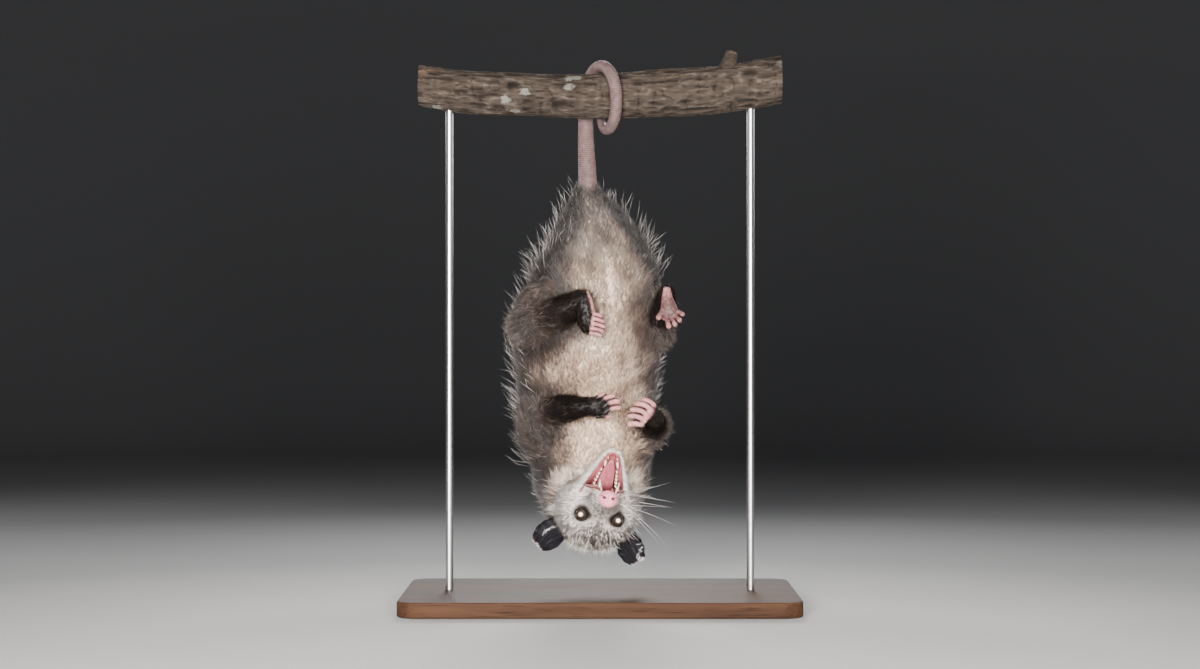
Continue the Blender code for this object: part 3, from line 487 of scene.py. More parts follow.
@dataclass(frozen=True)
class CoatFinish:
    """Hair, coloured by the points' tone from black to white and warmth from grey to cream."""

    name: str
    rough: float = 0.6
    sheen: float = 0.12
    shine: float = 0.25

    def make(self) -> Material:
        """The material."""
        s = Shader(self.name)
        fixed = {"Sheen_Weight": self.sheen, "Sheen_Roughness": 0.4, "Specular_IOR_Level": self.shine}
        return s.finish(s.hair(), self.rough, **fixed)


@dataclass(frozen=True)
class SkinFinish:
    """The skin: the coat's own markings where it is furred, and creased pink where it is bare."""

    name: str = "opossum_skin"

    def make(self) -> Material:
        """The material."""
        s = Shader(self.name)
        blotch = s.noise(160, 4)
        pink = s.ramp(blotch, (0.25, 0.32, 0.095, 0.10), (0.5, 0.45, 0.155, 0.16), (0.8, 0.58, 0.265, 0.26))
        paw = s.ramp(blotch, (0.25, 0.42, 0.15, 0.155), (0.5, 0.58, 0.26, 0.26), (0.8, 0.70, 0.39, 0.38))
        palm, dusky = s.value("palm"), s.value("dusky")
        pink = s.mix(palm, pink, paw)
        pink = s.mix(s.times(dusky, 0.85), pink, (0.075, 0.034, 0.033))
        # Painted shade between the digits: the skin goes nearly black there.
        pink = s.mix(s.times(s.value("gap_shade"), 0.92), pink, (0.030, 0.012, 0.011))
        creases = s.times(s.fade(s.cells(190.0, feature="DISTANCE_TO_EDGE"), 0.0, 0.24, 1.0, 0.0), palm)
        pink = s.mix(s.times(creases, s.line(dusky, 0.65, 0.10)), pink, (0.040, 0.016, 0.015))
        rows = s.math("SINE", s.times(s.value("ring"), 2 * math.pi / 2.1))
        scales = s.line(rows, 0.5, s.times(s.cells(620.0), 0.6))
        tail = s.value("tail")
        groove = s.times(s.math("LESS_THAN", rows, -0.55), s.times(tail, 0.35))
        pink = s.mix(tail, pink, s.ramp(blotch, (0.3, 0.115, 0.072, 0.070), (0.7, 0.20, 0.135, 0.130)))
        pink = s.mix(groove, pink, (0.060, 0.030, 0.027))
        smudge = s.times(s.fade(s.noise(75, 5), 0.5, 0.68), s.value("smudge"))
        pink = s.mix(smudge, pink, (0.16, 0.10, 0.09))
        pink = s.mix(s.value("strip"), pink, (0.74, 0.56, 0.52))
        fine = s.noise(900, 3)
        relief = s.bump(s.times(scales, tail), 0.0005, 0.9, s.bump(fine, 0.0004, 0.5))
        fixed = {"Subsurface_Weight": 0.08, "Subsurface_Scale": 0.004, "Specular_IOR_Level": 0.3}
        return s.finish(s.mix(s.value("bare"), s.hair(), pink), s.line(fine, 0.2, 0.38), relief, **fixed)


@dataclass(frozen=True)
class WetFinish:
    """Moist skin of the mouth: ridged, glossy, darker deep inside as painted shade."""

    name: str
    pale: tuple[float, float, float]
    deep: tuple[float, float, float]
    grain: float = 700.0

    def make(self) -> Material:
        """The material."""
        s = Shader(self.name)
        blotch = s.ramp(s.noise(260, 4), (0.3, *self.deep), (0.65, *self.pale))
        # Painted shade: the deep value darkens the back of the mouth.
        colour = s.mix(s.value("deep"), blotch, (0.075, 0.012, 0.012))
        relief = s.bump(s.noise(self.grain, 3), 0.0005, 0.6)
        soft = {"Subsurface_Weight": 0.1, "Subsurface_Scale": 0.003}
        return s.finish(colour, 0.28, relief, Coat_Weight=0.35, Coat_Roughness=0.12, **soft)


@dataclass(frozen=True)
class HornFinish:
    """Teeth and claws: the tip's colour, running into the root's."""

    name: str
    tip: tuple[float, float, float]
    root: tuple[float, float, float]

    def make(self) -> Material:
        """The material."""
        s = Shader(self.name)
        colour = s.mix(s.value("along"), self.root, self.tip)
        colour = s.mix(s.times(s.noise(900, 3), 0.25), colour, self.root)
        relief = s.bump(s.noise(1800, 2), 0.0001, 0.4)
        return s.finish(colour, 0.22, relief, Coat_Weight=0.3, Coat_Roughness=0.1)


@dataclass(frozen=True)
class EyeFinish:
    """A wet dark eye with a brown ring and a pale shine at its middle, by the angle from a way between its
    axis and the camera; the pale middle is a painted eyeshine, a painted reflection that also glows.
    """

    name: str = "opossum_eye"

    def make(self) -> Material:
        """The material."""
        s = Shader(self.name)
        turn = s.value("angle")
        # Painted eyeshine: the pale middle is a painted reflection, not the eye's own colour.
        shine = ((0.0, 0.98, 0.96, 0.90), (0.17, 0.97, 0.92, 0.80), (0.215, 0.30, 0.20, 0.11))
        dark = ((0.29, 0.06, 0.035, 0.022), (0.55, 0.02, 0.014, 0.012), (1.0, 0.008, 0.006, 0.006))
        # The painted eyeshine also glows by emission, though the eye is no lamp.
        painted_eyeshine_glow = s.ramp(turn, (0.0, 1, 1, 1), (0.17, 0.85, 0.85, 0.85), (0.22, 0, 0, 0))
        s.put(s.surface.inputs["Emission Color"], s.mix(painted_eyeshine_glow, (0.0, 0.0, 0.0), (1.0, 0.93, 0.74)))
        wet = {"Coat_Weight": 1.0, "Coat_Roughness": 0.02, "Specular_IOR_Level": 0.6}
        return s.finish(s.ramp(turn, *shine, *dark), 0.12, Emission_Strength=0.45, **wet)


@dataclass(frozen=True)
class EarFinish:
    """Thin naked ear: blue-black and glossy with creases whose crests are painted paler grey as painted
    glints, bleached towards the rim.
    """

    name: str = "opossum_ear"

    def make(self) -> Material:
        """The material."""
        s = Shader(self.name)
        flat = s.node("CombineXYZ", X=s.times(s.value("spread"), 3.2), Y=s.value("share")).outputs["Vector"]
        folds = s.noise(2.6, 5, 0.62, flat)
        patches = s.math("ADD", s.value("rim"), s.line(s.noise(150, 4), 0.5, -0.25))
        # Paler grey where the folds rise: painted glints along the creases, over the ear's blue-black.
        black = ((0.36, 0.002, 0.002, 0.003), (0.54, 0.008, 0.007, 0.010))
        dark = s.ramp(folds, *black, (0.64, 0.030, 0.027, 0.034), (0.74, 0.14, 0.125, 0.145))
        pale = s.ramp(s.noise(300, 3), (0.3, 0.38, 0.29, 0.31), (0.7, 0.66, 0.55, 0.57))
        colour = s.mix(s.fade(patches, 0.84, 1.0), dark, pale)
        relief = s.bump(folds, 0.0030, 1.0, s.bump(s.noise(520, 3), 0.0004, 0.6))
        return s.finish(colour, 0.42, relief, Coat_Weight=0.22, Coat_Roughness=0.12, Specular_IOR_Level=0.15)


@dataclass(frozen=True)
class NoseFinish:
    """The naked pink nose, pebbled and moist, with painted shade dark inside the nostrils."""

    name: str = "opossum_nose"

    def make(self) -> Material:
        """The material."""
        s = Shader(self.name)
        pink = s.ramp(s.noise(280, 4), (0.3, 0.72, 0.20, 0.27), (0.7, 0.92, 0.38, 0.45))
        # Painted shade in the nostrils' hollows.
        colour = s.mix(s.value("pit"), pink, (0.05, 0.012, 0.012))
        relief = s.bump(s.cells(1500.0), 0.00035, 0.7)
        soft = {"Subsurface_Weight": 0.1, "Subsurface_Scale": 0.003}
        return s.finish(colour, 0.36, relief, Coat_Weight=0.3, Coat_Roughness=0.2, **soft)


@dataclass(frozen=True)
class BarkFinish:
    """Weathered bark: grey-brown ridges, paler crests, tan scars and a few lichen spots; pale sawn ends."""

    name: str = "branch_bark"

    def make(self) -> Material:
        """The material."""
        s = Shader(self.name)
        relief = s.value("relief")
        fibres = s.noise(210, 6, 0.65, s.stretch(0.22))
        tone = s.line(fibres, 0.55, s.times(relief, 0.55))
        low = ((0.25, 0.004, 0.0033, 0.0027), (0.5, 0.018, 0.0125, 0.009))
        bark = s.ramp(tone, *low, (0.75, 0.060, 0.045, 0.035), (0.95, 0.15, 0.123, 0.102))
        scars = s.fade(s.noise(26, 5, 0.6, s.stretch(0.45)), 0.60, 0.68)
        bark = s.mix(s.times(scars, s.times(fibres, 0.9)), bark, (0.20, 0.12, 0.075))
        spots = s.math("ADD", s.cells(46.0, s.stretch(0.8)), s.times(s.noise(300, 3), 0.35))
        lichen = s.times(s.fade(spots, 0.33, 0.42, 1.0, 0.0), s.fade(s.noise(14, 3), 0.50, 0.60))
        bark = s.mix(s.times(lichen, 0.6), bark, (0.26, 0.26, 0.225))
        away = s.line(s.value("ring"), 2900.0, s.times(s.noise(38, 4), 30.0))
        rings = s.line(s.math("SINE", away), 0.5, 0.5)
        rings = s.line(rings, 0.35, s.times(s.noise(120, 5, 0.65), 0.75))
        tan = ((0.25, 0.16, 0.095, 0.055), (0.55, 0.30, 0.195, 0.115), (0.85, 0.42, 0.295, 0.185))
        wood = s.ramp(rings, *tan)
        colour = s.mix(s.value("sawn"), bark, s.mix(relief, (0.035, 0.020, 0.013), wood))
        fine = s.bump(s.noise(900, 4, 0.6, s.stretch(0.4)), 0.0006, 0.7)
        return s.finish(colour, 0.9, s.bump(fibres, 0.0022, 0.9, fine), Specular_IOR_Level=0.25)


@dataclass(frozen=True)
class WoodFinish:
    """Plain dark satin wood, its grain along X."""

    name: str = "stand_wood_satin"

    def make(self) -> Material:
        """The material."""
        s = Shader(self.name)
        grain = s.noise(38, 7, 0.62, s.stretch(0.06))
        pores = s.noise(700, 3, 0.5, s.stretch(0.04))
        brown = ((0.28, 0.022, 0.011, 0.007), (0.5, 0.062, 0.030, 0.017), (0.72, 0.115, 0.058, 0.032))
        colour = s.mix(s.fade(pores, 0.56, 0.66, 0.0, 0.55), s.ramp(grain, *brown), (0.010, 0.006, 0.004))
        relief = s.bump(pores, 0.00015, 0.6)
        return s.finish(colour, s.line(grain, 0.2, 0.50), relief, Specular_IOR_Level=0.05)


@dataclass(frozen=True)
class SteelFinish:
    """Satin steel rod, brushed round and round."""

    name: str = "stand_steel_satin"

    def make(self) -> Material:
        """The material."""
        s = Shader(self.name)
        lines = s.noise(60, 4, 0.6, s.stretch(1, 1, 45))
        colour = s.ramp(lines, (0.2, 0.46, 0.46, 0.47), (0.8, 0.62, 0.62, 0.63))
        return s.finish(colour, s.line(lines, 0.2, 0.24), s.bump(lines, 0.00004, 0.5), Metallic=1.0)


# Forms


@dataclass
class Loft:
    """A closed form through stations: the cross-section is a superellipse on two ways round a centre.

    At a share s of its length and a turn a, the surface is
    centre + across * half * sin(a)^(2/p) + up * (above or below) * cos(a)^(2/p), all of them functions of s.
    """

    places: Array
    centre: Array
    across: Array
    up: Array
    sizes: Array  # half, above, below
    inset: Array  # depth of the coat on it
    fullness: float = 2.0
    shape: Optional[Callable[[Array, Array], Array]] = None
    samples: tuple = ()

    def read(self, s: Array) -> tuple[Array, Array, Array, Array, Array]:
        """Centre, across, up, sizes and inset at shares of the length, one row for each share."""
        rows = np.column_stack((self.places, self.centre, self.across, self.up, self.sizes, self.inset))
        out = through(rows, s)
        up = unit(out[..., 6:9])
        across = unit(out[..., 3:6] - up * (out[..., 3:6] * up).sum(-1, keepdims=True))
        return out[..., 0:3], across, up, out[..., 9:12], out[..., 12]

    def surface(self, s: Array, turn: Array) -> Array:
        """Points of the skin, which lies inside the form by the coat's depth.

        Args:
            s: shares of the length.
            turn: turns from 0 to 2 pi, 0 being up.

        Returns:
            One point for each pair.
        """
        centre, across, up, sizes, inset = self.read(s)
        power = 2 / self.fullness
        rise, side = (np.sign(way) * np.abs(way) ** power for way in (np.cos(turn), np.sin(turn)))
        half = np.maximum(sizes[..., 0] - inset, 0.3 * MM)
        deep = np.maximum(np.where(rise > 0, sizes[..., 1], sizes[..., 2]) - inset, 0.3 * MM)
        points = centre + across * (half * side)[..., None] + up * (deep * rise)[..., None]
        return points if self.shape is None else self.shape(turn, points)

    def tube(self, rows: int, columns: int) -> Surface:
        """The closed mesh of the form's skin."""
        return closed_tube(self.surface(*rounds(np.linspace(0, 1, rows), columns)))

    def away(self, points: Array) -> Array:
        """How far points are outside the form, about, in metres, negative inside.

        For each of 48 cross-sections the distance is the radial one, (q - 1) times the radius, q being the
        superellipse's own measure, joined with the distance along the axis; the smallest counts.

        Args:
            points: (n, 3) places.

        Returns:
            (n,) distances.
        """
        if not self.samples:
            centre, across, up, sizes, _ = self.read(np.linspace(0, 1, 48))
            step = 0.6 * norm(np.diff(centre, axis=0)).mean()
            self.samples = (centre, across, up, sizes, unit(np.gradient(centre, axis=0)), step)
        step, best = self.samples[-1], np.full(len(points), 1.0)
        for c, a, u, size, t in zip(*self.samples[:-1]):
            rel = points - c
            x, y, z = rel @ a, rel @ u, rel @ t
            wide, high = np.abs(x / size[0]), np.abs(y / np.where(y > 0, size[1], size[2]))
            q = (wide**self.fullness + high**self.fullness) ** (1 / self.fullness)
            radial = (q - 1) * np.hypot(x, y) / np.maximum(q, 0.2)
            along = np.maximum(np.abs(z) - step, 0)
            best = np.minimum(best, np.where(along > 0, np.hypot(np.maximum(radial, 0), along), radial))
        return best


@dataclass(frozen=True)
class Paw:
    """A paw in millimetres: its palm or sole, the side that is wide to, its digits and how they curl."""

    pad: tuple  # rows of x, y, z, half width and half thickness
    wide: tuple[float, float, float]
    digits: tuple  # rows of the root, the way, the length and the radius
    curl: tuple[float, float, float]  # what the way gains by a digit's tip


BELLY_TURN = math.radians(10)
BELLY = np.array((math.sin(BELLY_TURN), -math.cos(BELLY_TURN), 0.0))
LEFT_SIDE = np.array((-math.cos(BELLY_TURN), -math.sin(BELLY_TURN), 0.0))

# Rows of height, x, y, half width and the depths above and below
TORSO_ROWS = (
    (138, -10, 5, 60, 42, 53), (160, -10, 2, 67, 44, 58), (195, -11, -1, 70, 49, 62),
    (232, -12, -2, 74, 57, 64), (268, -11, 0, 78, 65, 64), (305, -8, 4, 77, 64, 60),
    (340, -5, 9, 68, 56, 52), (376, -4, 16, 53, 44, 40), (410, -7, 25, 32, 27, 24),
    (428, -11, 31, 18, 16, 15), (438, -12.8, 33, 12, 12, 12),
)
# Rows of share, middle, turn, half width and the depths above and below
NECK_ROWS = (
    (0.00, -10, 5, 138, 0, 60, 46, 53), (0.35, -9, 3, 122, 16, 57, 44, 49),
    (0.70, -7, -4, 108, 38, 50, 40, 44), (1.00, -5, -12, 100, 62, 40, 34, 36),
)
# Rows of place ahead, half width, top, bottom and the coat's depth
HEAD_ROWS = (
    (-38, 9, 13, -11, 4), (-33, 24, 27, -25, 5), (-18, 40, 39, -36, 6), (-2, 45.5, 43, -39, 6.5),
    (12, 46, 38.5, -38, 6.5), (25, 36, 27.5, -31, 5), (36, 24.5, 18, -22.5, 2.6), (48, 19.5, 10, -21, 1.8),
    (60, 17, 4.5, -20.5, 1.4), (72, 14.5, 0.5, -20, 1.1), (80, 11.5, -2.5, -19.2, 0.9),
    (84.5, 8, -5.5, -17, 0.8),
)
HEAD_LINE = np.array(HEAD_ROWS)[:, (0, 1, 3)] * MM
EYES_MIDDLE = np.array((-0.6, -66.0, 97.6)) * MM
HEAD_TURN, HEAD_RAISE, HEAD_ROLL = (math.radians(v) for v in (7, 4, 9.5))
EYE_FORWARD, EYE_RISE, EYE_SPREAD, EYE_RADIUS = (v * MM for v in (38, 8, 18.8, 6.3))
MOUTH_CORNER, LIP_LINE, PALATE_RISE = (v * MM for v in (30, -20, 7))
JAW_DROP = math.radians(42)
# Rows of place from the corner, half width and depth
JAW_ROWS = (
    (-16, 25, 21), (0, 20.8, 17), (14, 17.6, 14.5), (28, 14.0, 12.5),
    (40, 10.8, 10.5), (48, 8.2, 8.5), (53, 5.6, 6.5), (56, 2.2, 4.0),
)
JAW_LINE = np.array(JAW_ROWS) * MM
NOSE_PLACE = (84.5 * MM, -10.2 * MM)
# Swellings of brow, whisker pad and cheek: place, height and width
HEAD_SWELLS = (((33, 15, 19), 1.8, 9), ((68, 15, -13), 1.6, 9), ((24, 34, -14), 2.0, 15))
# Rows of x, y, z and radius at the joints
LIMB_ROWS = {
    "thigh_left": ((-36, 4, 334, 30), (-54, -22, 313, 31), (-68, -40, 297, 25)),
    "shin_left": ((-67, -42, 296, 23), (-44, -60, 305, 20), (-20, -73, 319, 12)),
    "thigh_right": ((34, 6, 332, 26), (52, -6, 310, 24), (59, -20, 291, 16)),
    "shin_right": ((58.5, -21, 291, 14.5), (64, -38, 305, 13), (68.5, -51, 326, 9)),
    "upper_arm_left": ((-48, -12, 166, 24), (-62, -30, 181, 22), (-68, -48, 199, 16)),
    "forearm_left": ((-67, -49, 200, 15.5), (-40, -66, 208, 14.5), (-13, -75, 211, 9.6)),
    "upper_arm_right": ((30, -2, 172, 23), (44, -18, 181, 20), (53, -34, 189, 14.5)),
    "forearm_right": ((53, -35, 189, 14), (56, -54, 190, 12), (57.5, -69, 195, 9.6)),
}
PAWS = {
    "hand_left": Paw(
        (
            (-16, -75, 211, 7.5, 6.5), (-7, -77, 211, 9.4, 7), (0, -78, 210.5, 10, 5.8),
            (4.5, -78.5, 209.5, 8, 3.8),
        ),
        (0.1, 0.0, 1.0),
        (
            (-5.2, -79, 217.6, 0.38, -0.10, 0.92, 13.5, 2.8),
            (0.6, -80, 215.6, 0.48, -0.12, 0.87, 16.5, 2.9),
            (4.6, -80.5, 211.6, 0.60, -0.12, 0.79, 17.5, 3.0),
            (6.2, -80, 206.2, 0.66, -0.10, 0.74, 16.5, 2.9),
            (-1.0, -78, 201.4, 0.93, -0.05, 0.36, 12.5, 2.6),
        ),
        (0.75, 0.35, -0.95),
    ),
    "hand_right": Paw(
        (
            (60, -69, 195, 7.2, 6.5), (55, -75, 199, 9.4, 7), (50, -80, 203, 9.8, 6),
            (46.5, -82, 206, 7.8, 3.8),
        ),
        (0.66, 0.1, 0.75),
        (
            (55.0, -79, 211.6, -0.42, -0.08, 0.90, 15.5, 3.2),
            (50.8, -83, 208.6, -0.55, -0.12, 0.83, 18.0, 3.0),
            (47.4, -84, 203.2, -0.58, -0.14, 0.80, 18.5, 3.0),
            (44.0, -84, 197.8, -0.60, -0.12, 0.79, 18.0, 3.0),
            (42.5, -82, 192.6, -0.84, -0.08, 0.54, 15.5, 2.9),
        ),
        (-0.70, 0.35, -1.10),
    ),
    "foot_left": Paw(
        (
            (-17, -74, 327, 6, 6), (-16, -77, 318, 8.6, 7), (-14.5, -78, 307, 9.6, 6.5),
            (-13, -78, 296, 9, 5.5), (-11.5, -78, 288, 5.6, 3.4),
        ),
        (1.0, 0.0, 0.15),
        (
            (-9.4, -80, 305.6, 0.97, -0.06, 0.10, 13.0, 2.2),
            (-8.8, -80.5, 300.6, 0.97, -0.06, 0.10, 15.0, 2.3),
            (-8.6, -80.5, 295.4, 0.98, -0.06, 0.14, 15.5, 2.3),
            (-8.4, -80, 290.4, 0.98, -0.04, 0.16, 14.5, 2.2),
            (-9.0, -78.5, 285.8, 0.98, 0.0, 0.16, 12.5, 2.1),
        ),
        (-0.10, 0.60, -0.75),
    ),
    "foot_right": Paw(
        (
            (68.5, -53, 331, 4.5, 4.5), (69, -57, 322, 6.0, 5.5), (70.5, -60, 311, 9, 5.6),
            (71.5, -61, 305, 10, 5), (72.5, -61, 300, 8, 3.2),
        ),
        (1.0, 0.0, 0.0),
        (
            (64.2, -62, 308.2, -0.52, -0.22, -0.82, 11.5, 2.9),
            (68.6, -63, 301.2, 0.20, -0.22, -0.95, 12.5, 2.7),
            (73.6, -63, 300.8, 0.42, -0.24, -0.87, 10.5, 2.6),
            (77.2, -63, 303.4, 0.66, -0.24, -0.71, 9.5, 2.5),
            (79.2, -62, 308.0, 0.84, -0.22, -0.49, 9.0, 2.4),
        ),
        (0.0, -0.5, 0.0),
    ),
}
BRANCH_RADIUS, BRANCH_HALF, BRANCH_HEIGHT = (v * MM for v in (24, 190, 534.5))
BRANCH_SAG, BRANCH_TILT, BRANCH_TAPER = (v * MM for v in (13, 3, 2.5))
TAIL_BASE, TAIL_BEHIND = np.array((-12.8, 33.0, 438.0)) * MM, np.array((-16.0, 33.6, 512.0)) * MM
# Rows of turn round the branch, x and slack
TAIL_TURNS = (
    (0.00, -16.0, 0.6), (0.12, -11.0, 0.6), (0.25, 0.0, 0.6), (0.37, 10.5, 0.6), (0.50, 17.0, 0.6),
    (0.62, 16.0, 3.0), (0.72, 9.5, 6.5), (0.82, 2.5, 4.5), (0.92, -1.5, 1.2),
)
# Rows of share and radius
TAIL_THICKNESS = (
    (0.00, 10.6), (0.22, 8.4), (0.42, 6.4), (0.52, 6.4), (0.70, 6.7), (0.88, 5.6), (0.97, 4.0), (1.00, 1.9),
)


def head_ways() -> tuple[Array, Array, Array, Array]:
    """The head's forward, left and up directions, and its middle between the ears."""
    level = math.cos(HEAD_RAISE)
    ahead = np.array((math.sin(HEAD_TURN) * level, -math.cos(HEAD_TURN) * level, math.sin(HEAD_RAISE)))
    left = np.array((-math.cos(HEAD_ROLL), 0, math.sin(HEAD_ROLL)))
    left = unit(left - ahead * np.dot(left, ahead))
    up = np.cross(ahead, left)
    return ahead, left, up, EYES_MIDDLE - ahead * EYE_FORWARD - up * EYE_RISE


AHEAD, LEFT, UP, HEAD_MIDDLE = head_ways()
JAW_WAY = math.cos(JAW_DROP) * AHEAD - math.sin(JAW_DROP) * UP
JAW_OUT = math.sin(JAW_DROP) * AHEAD + math.cos(JAW_DROP) * UP


def placed(start: Array, ways: Sequence[Array], numbers: Sequence[Array]) -> Array:
    """Points given from a start by numbers along three ways, in metres."""
    one, two, three = np.broadcast_arrays(*(np.asarray(number, float) for number in numbers))
    return start + one[..., None] * ways[0] + two[..., None] * ways[1] + three[..., None] * ways[2]


def on_head(ahead: Array, side: Array, up: Array) -> Array:
    """Points given along the muzzle, to the animal's left and up, in metres."""
    return placed(HEAD_MIDDLE, (AHEAD, LEFT, UP), (ahead, side, up))


def from_head(points: Array) -> tuple[Array, Array, Array]:
    """How far points lie along the muzzle, to the animal's left and up."""
    rel = points - HEAD_MIDDLE
    return rel @ AHEAD, rel @ LEFT, rel @ UP


JAW_CORNER = on_head(MOUTH_CORNER, 0, LIP_LINE)


def on_jaw(place: Array, side: Array, out: Array) -> Array:
    """Points on the lower jaw, given from the mouth's corner, to the left and out of the gum, in metres."""
    return placed(JAW_CORNER, (JAW_WAY, LEFT, JAW_OUT), (place, side, out))


def eye_middle(side: int) -> Array:
    """The centre of one eye, side being 1 on the left and -1 on the right."""
    return on_head(EYE_FORWARD, side * EYE_SPREAD, EYE_RISE)


def eye_way(side: int) -> Array:
    """The way that one eye looks."""
    return unit(0.80 * AHEAD + side * 0.50 * LEFT + 0.33 * UP)


def branch_middle(x: Array) -> Array:
    """The height of the branch's axis at x: a parabola that sags in the middle, plus a slope."""
    share = x / BRANCH_HALF
    return BRANCH_HEIGHT + BRANCH_SAG * share * share + BRANCH_TILT * share


def shape_head(turn: Array, points: Array) -> Array:
    """Gives the head's loft its mouth, brows, whisker pads and eye hollows.

    Ahead of the mouth's corner the underside between the lips is lifted to the palate by
    PALATE_RISE * (1 - (side / 0.84)^4). Hollows and swellings are round hills along the way out of the axis.

    Args:
        turn: turns round the axis.
        points: the plain loft's points.

    Returns:
        The shaped points.
    """
    place, _, rise = from_head(points)
    half, bottom = columns_of(HEAD_LINE, place)
    ahead = np.clip((place - MOUTH_CORNER) / (7 * MM), 0, 1)[..., None]
    across = np.clip(np.tan(np.clip(turn - np.pi, -1.04, 1.04)) / 1.7, -1, 1) * 0.92
    lifted = bottom + PALATE_RISE * np.clip(1 - (np.abs(across) / 0.84) ** 4, 0, 1)
    lifted += np.where(np.abs(across) > 0.84, (np.abs(across) - 0.84) * 10 * MM, 0)
    flat = on_head(place, -across * half, lifted)
    under = (np.cos(turn) < -0.5)[..., None] & (ahead > 0)
    points = np.where(under, points * (1 - ahead) + flat * ahead, points)
    swell = np.zeros(np.shape(place))
    for sign in (-1, 1):
        swell -= 2.0 * MM * hill(norm(points - eye_middle(sign) - eye_way(sign) * 3 * MM), 8 * MM)
        for (x, y, z), high, wide in HEAD_SWELLS:
            swell += high * MM * hill(norm(points - on_head(x * MM, sign * y * MM, z * MM)), wide * MM)
    return points + unit(points - on_head(place, 0, 0.3 * rise)) * swell[..., None]


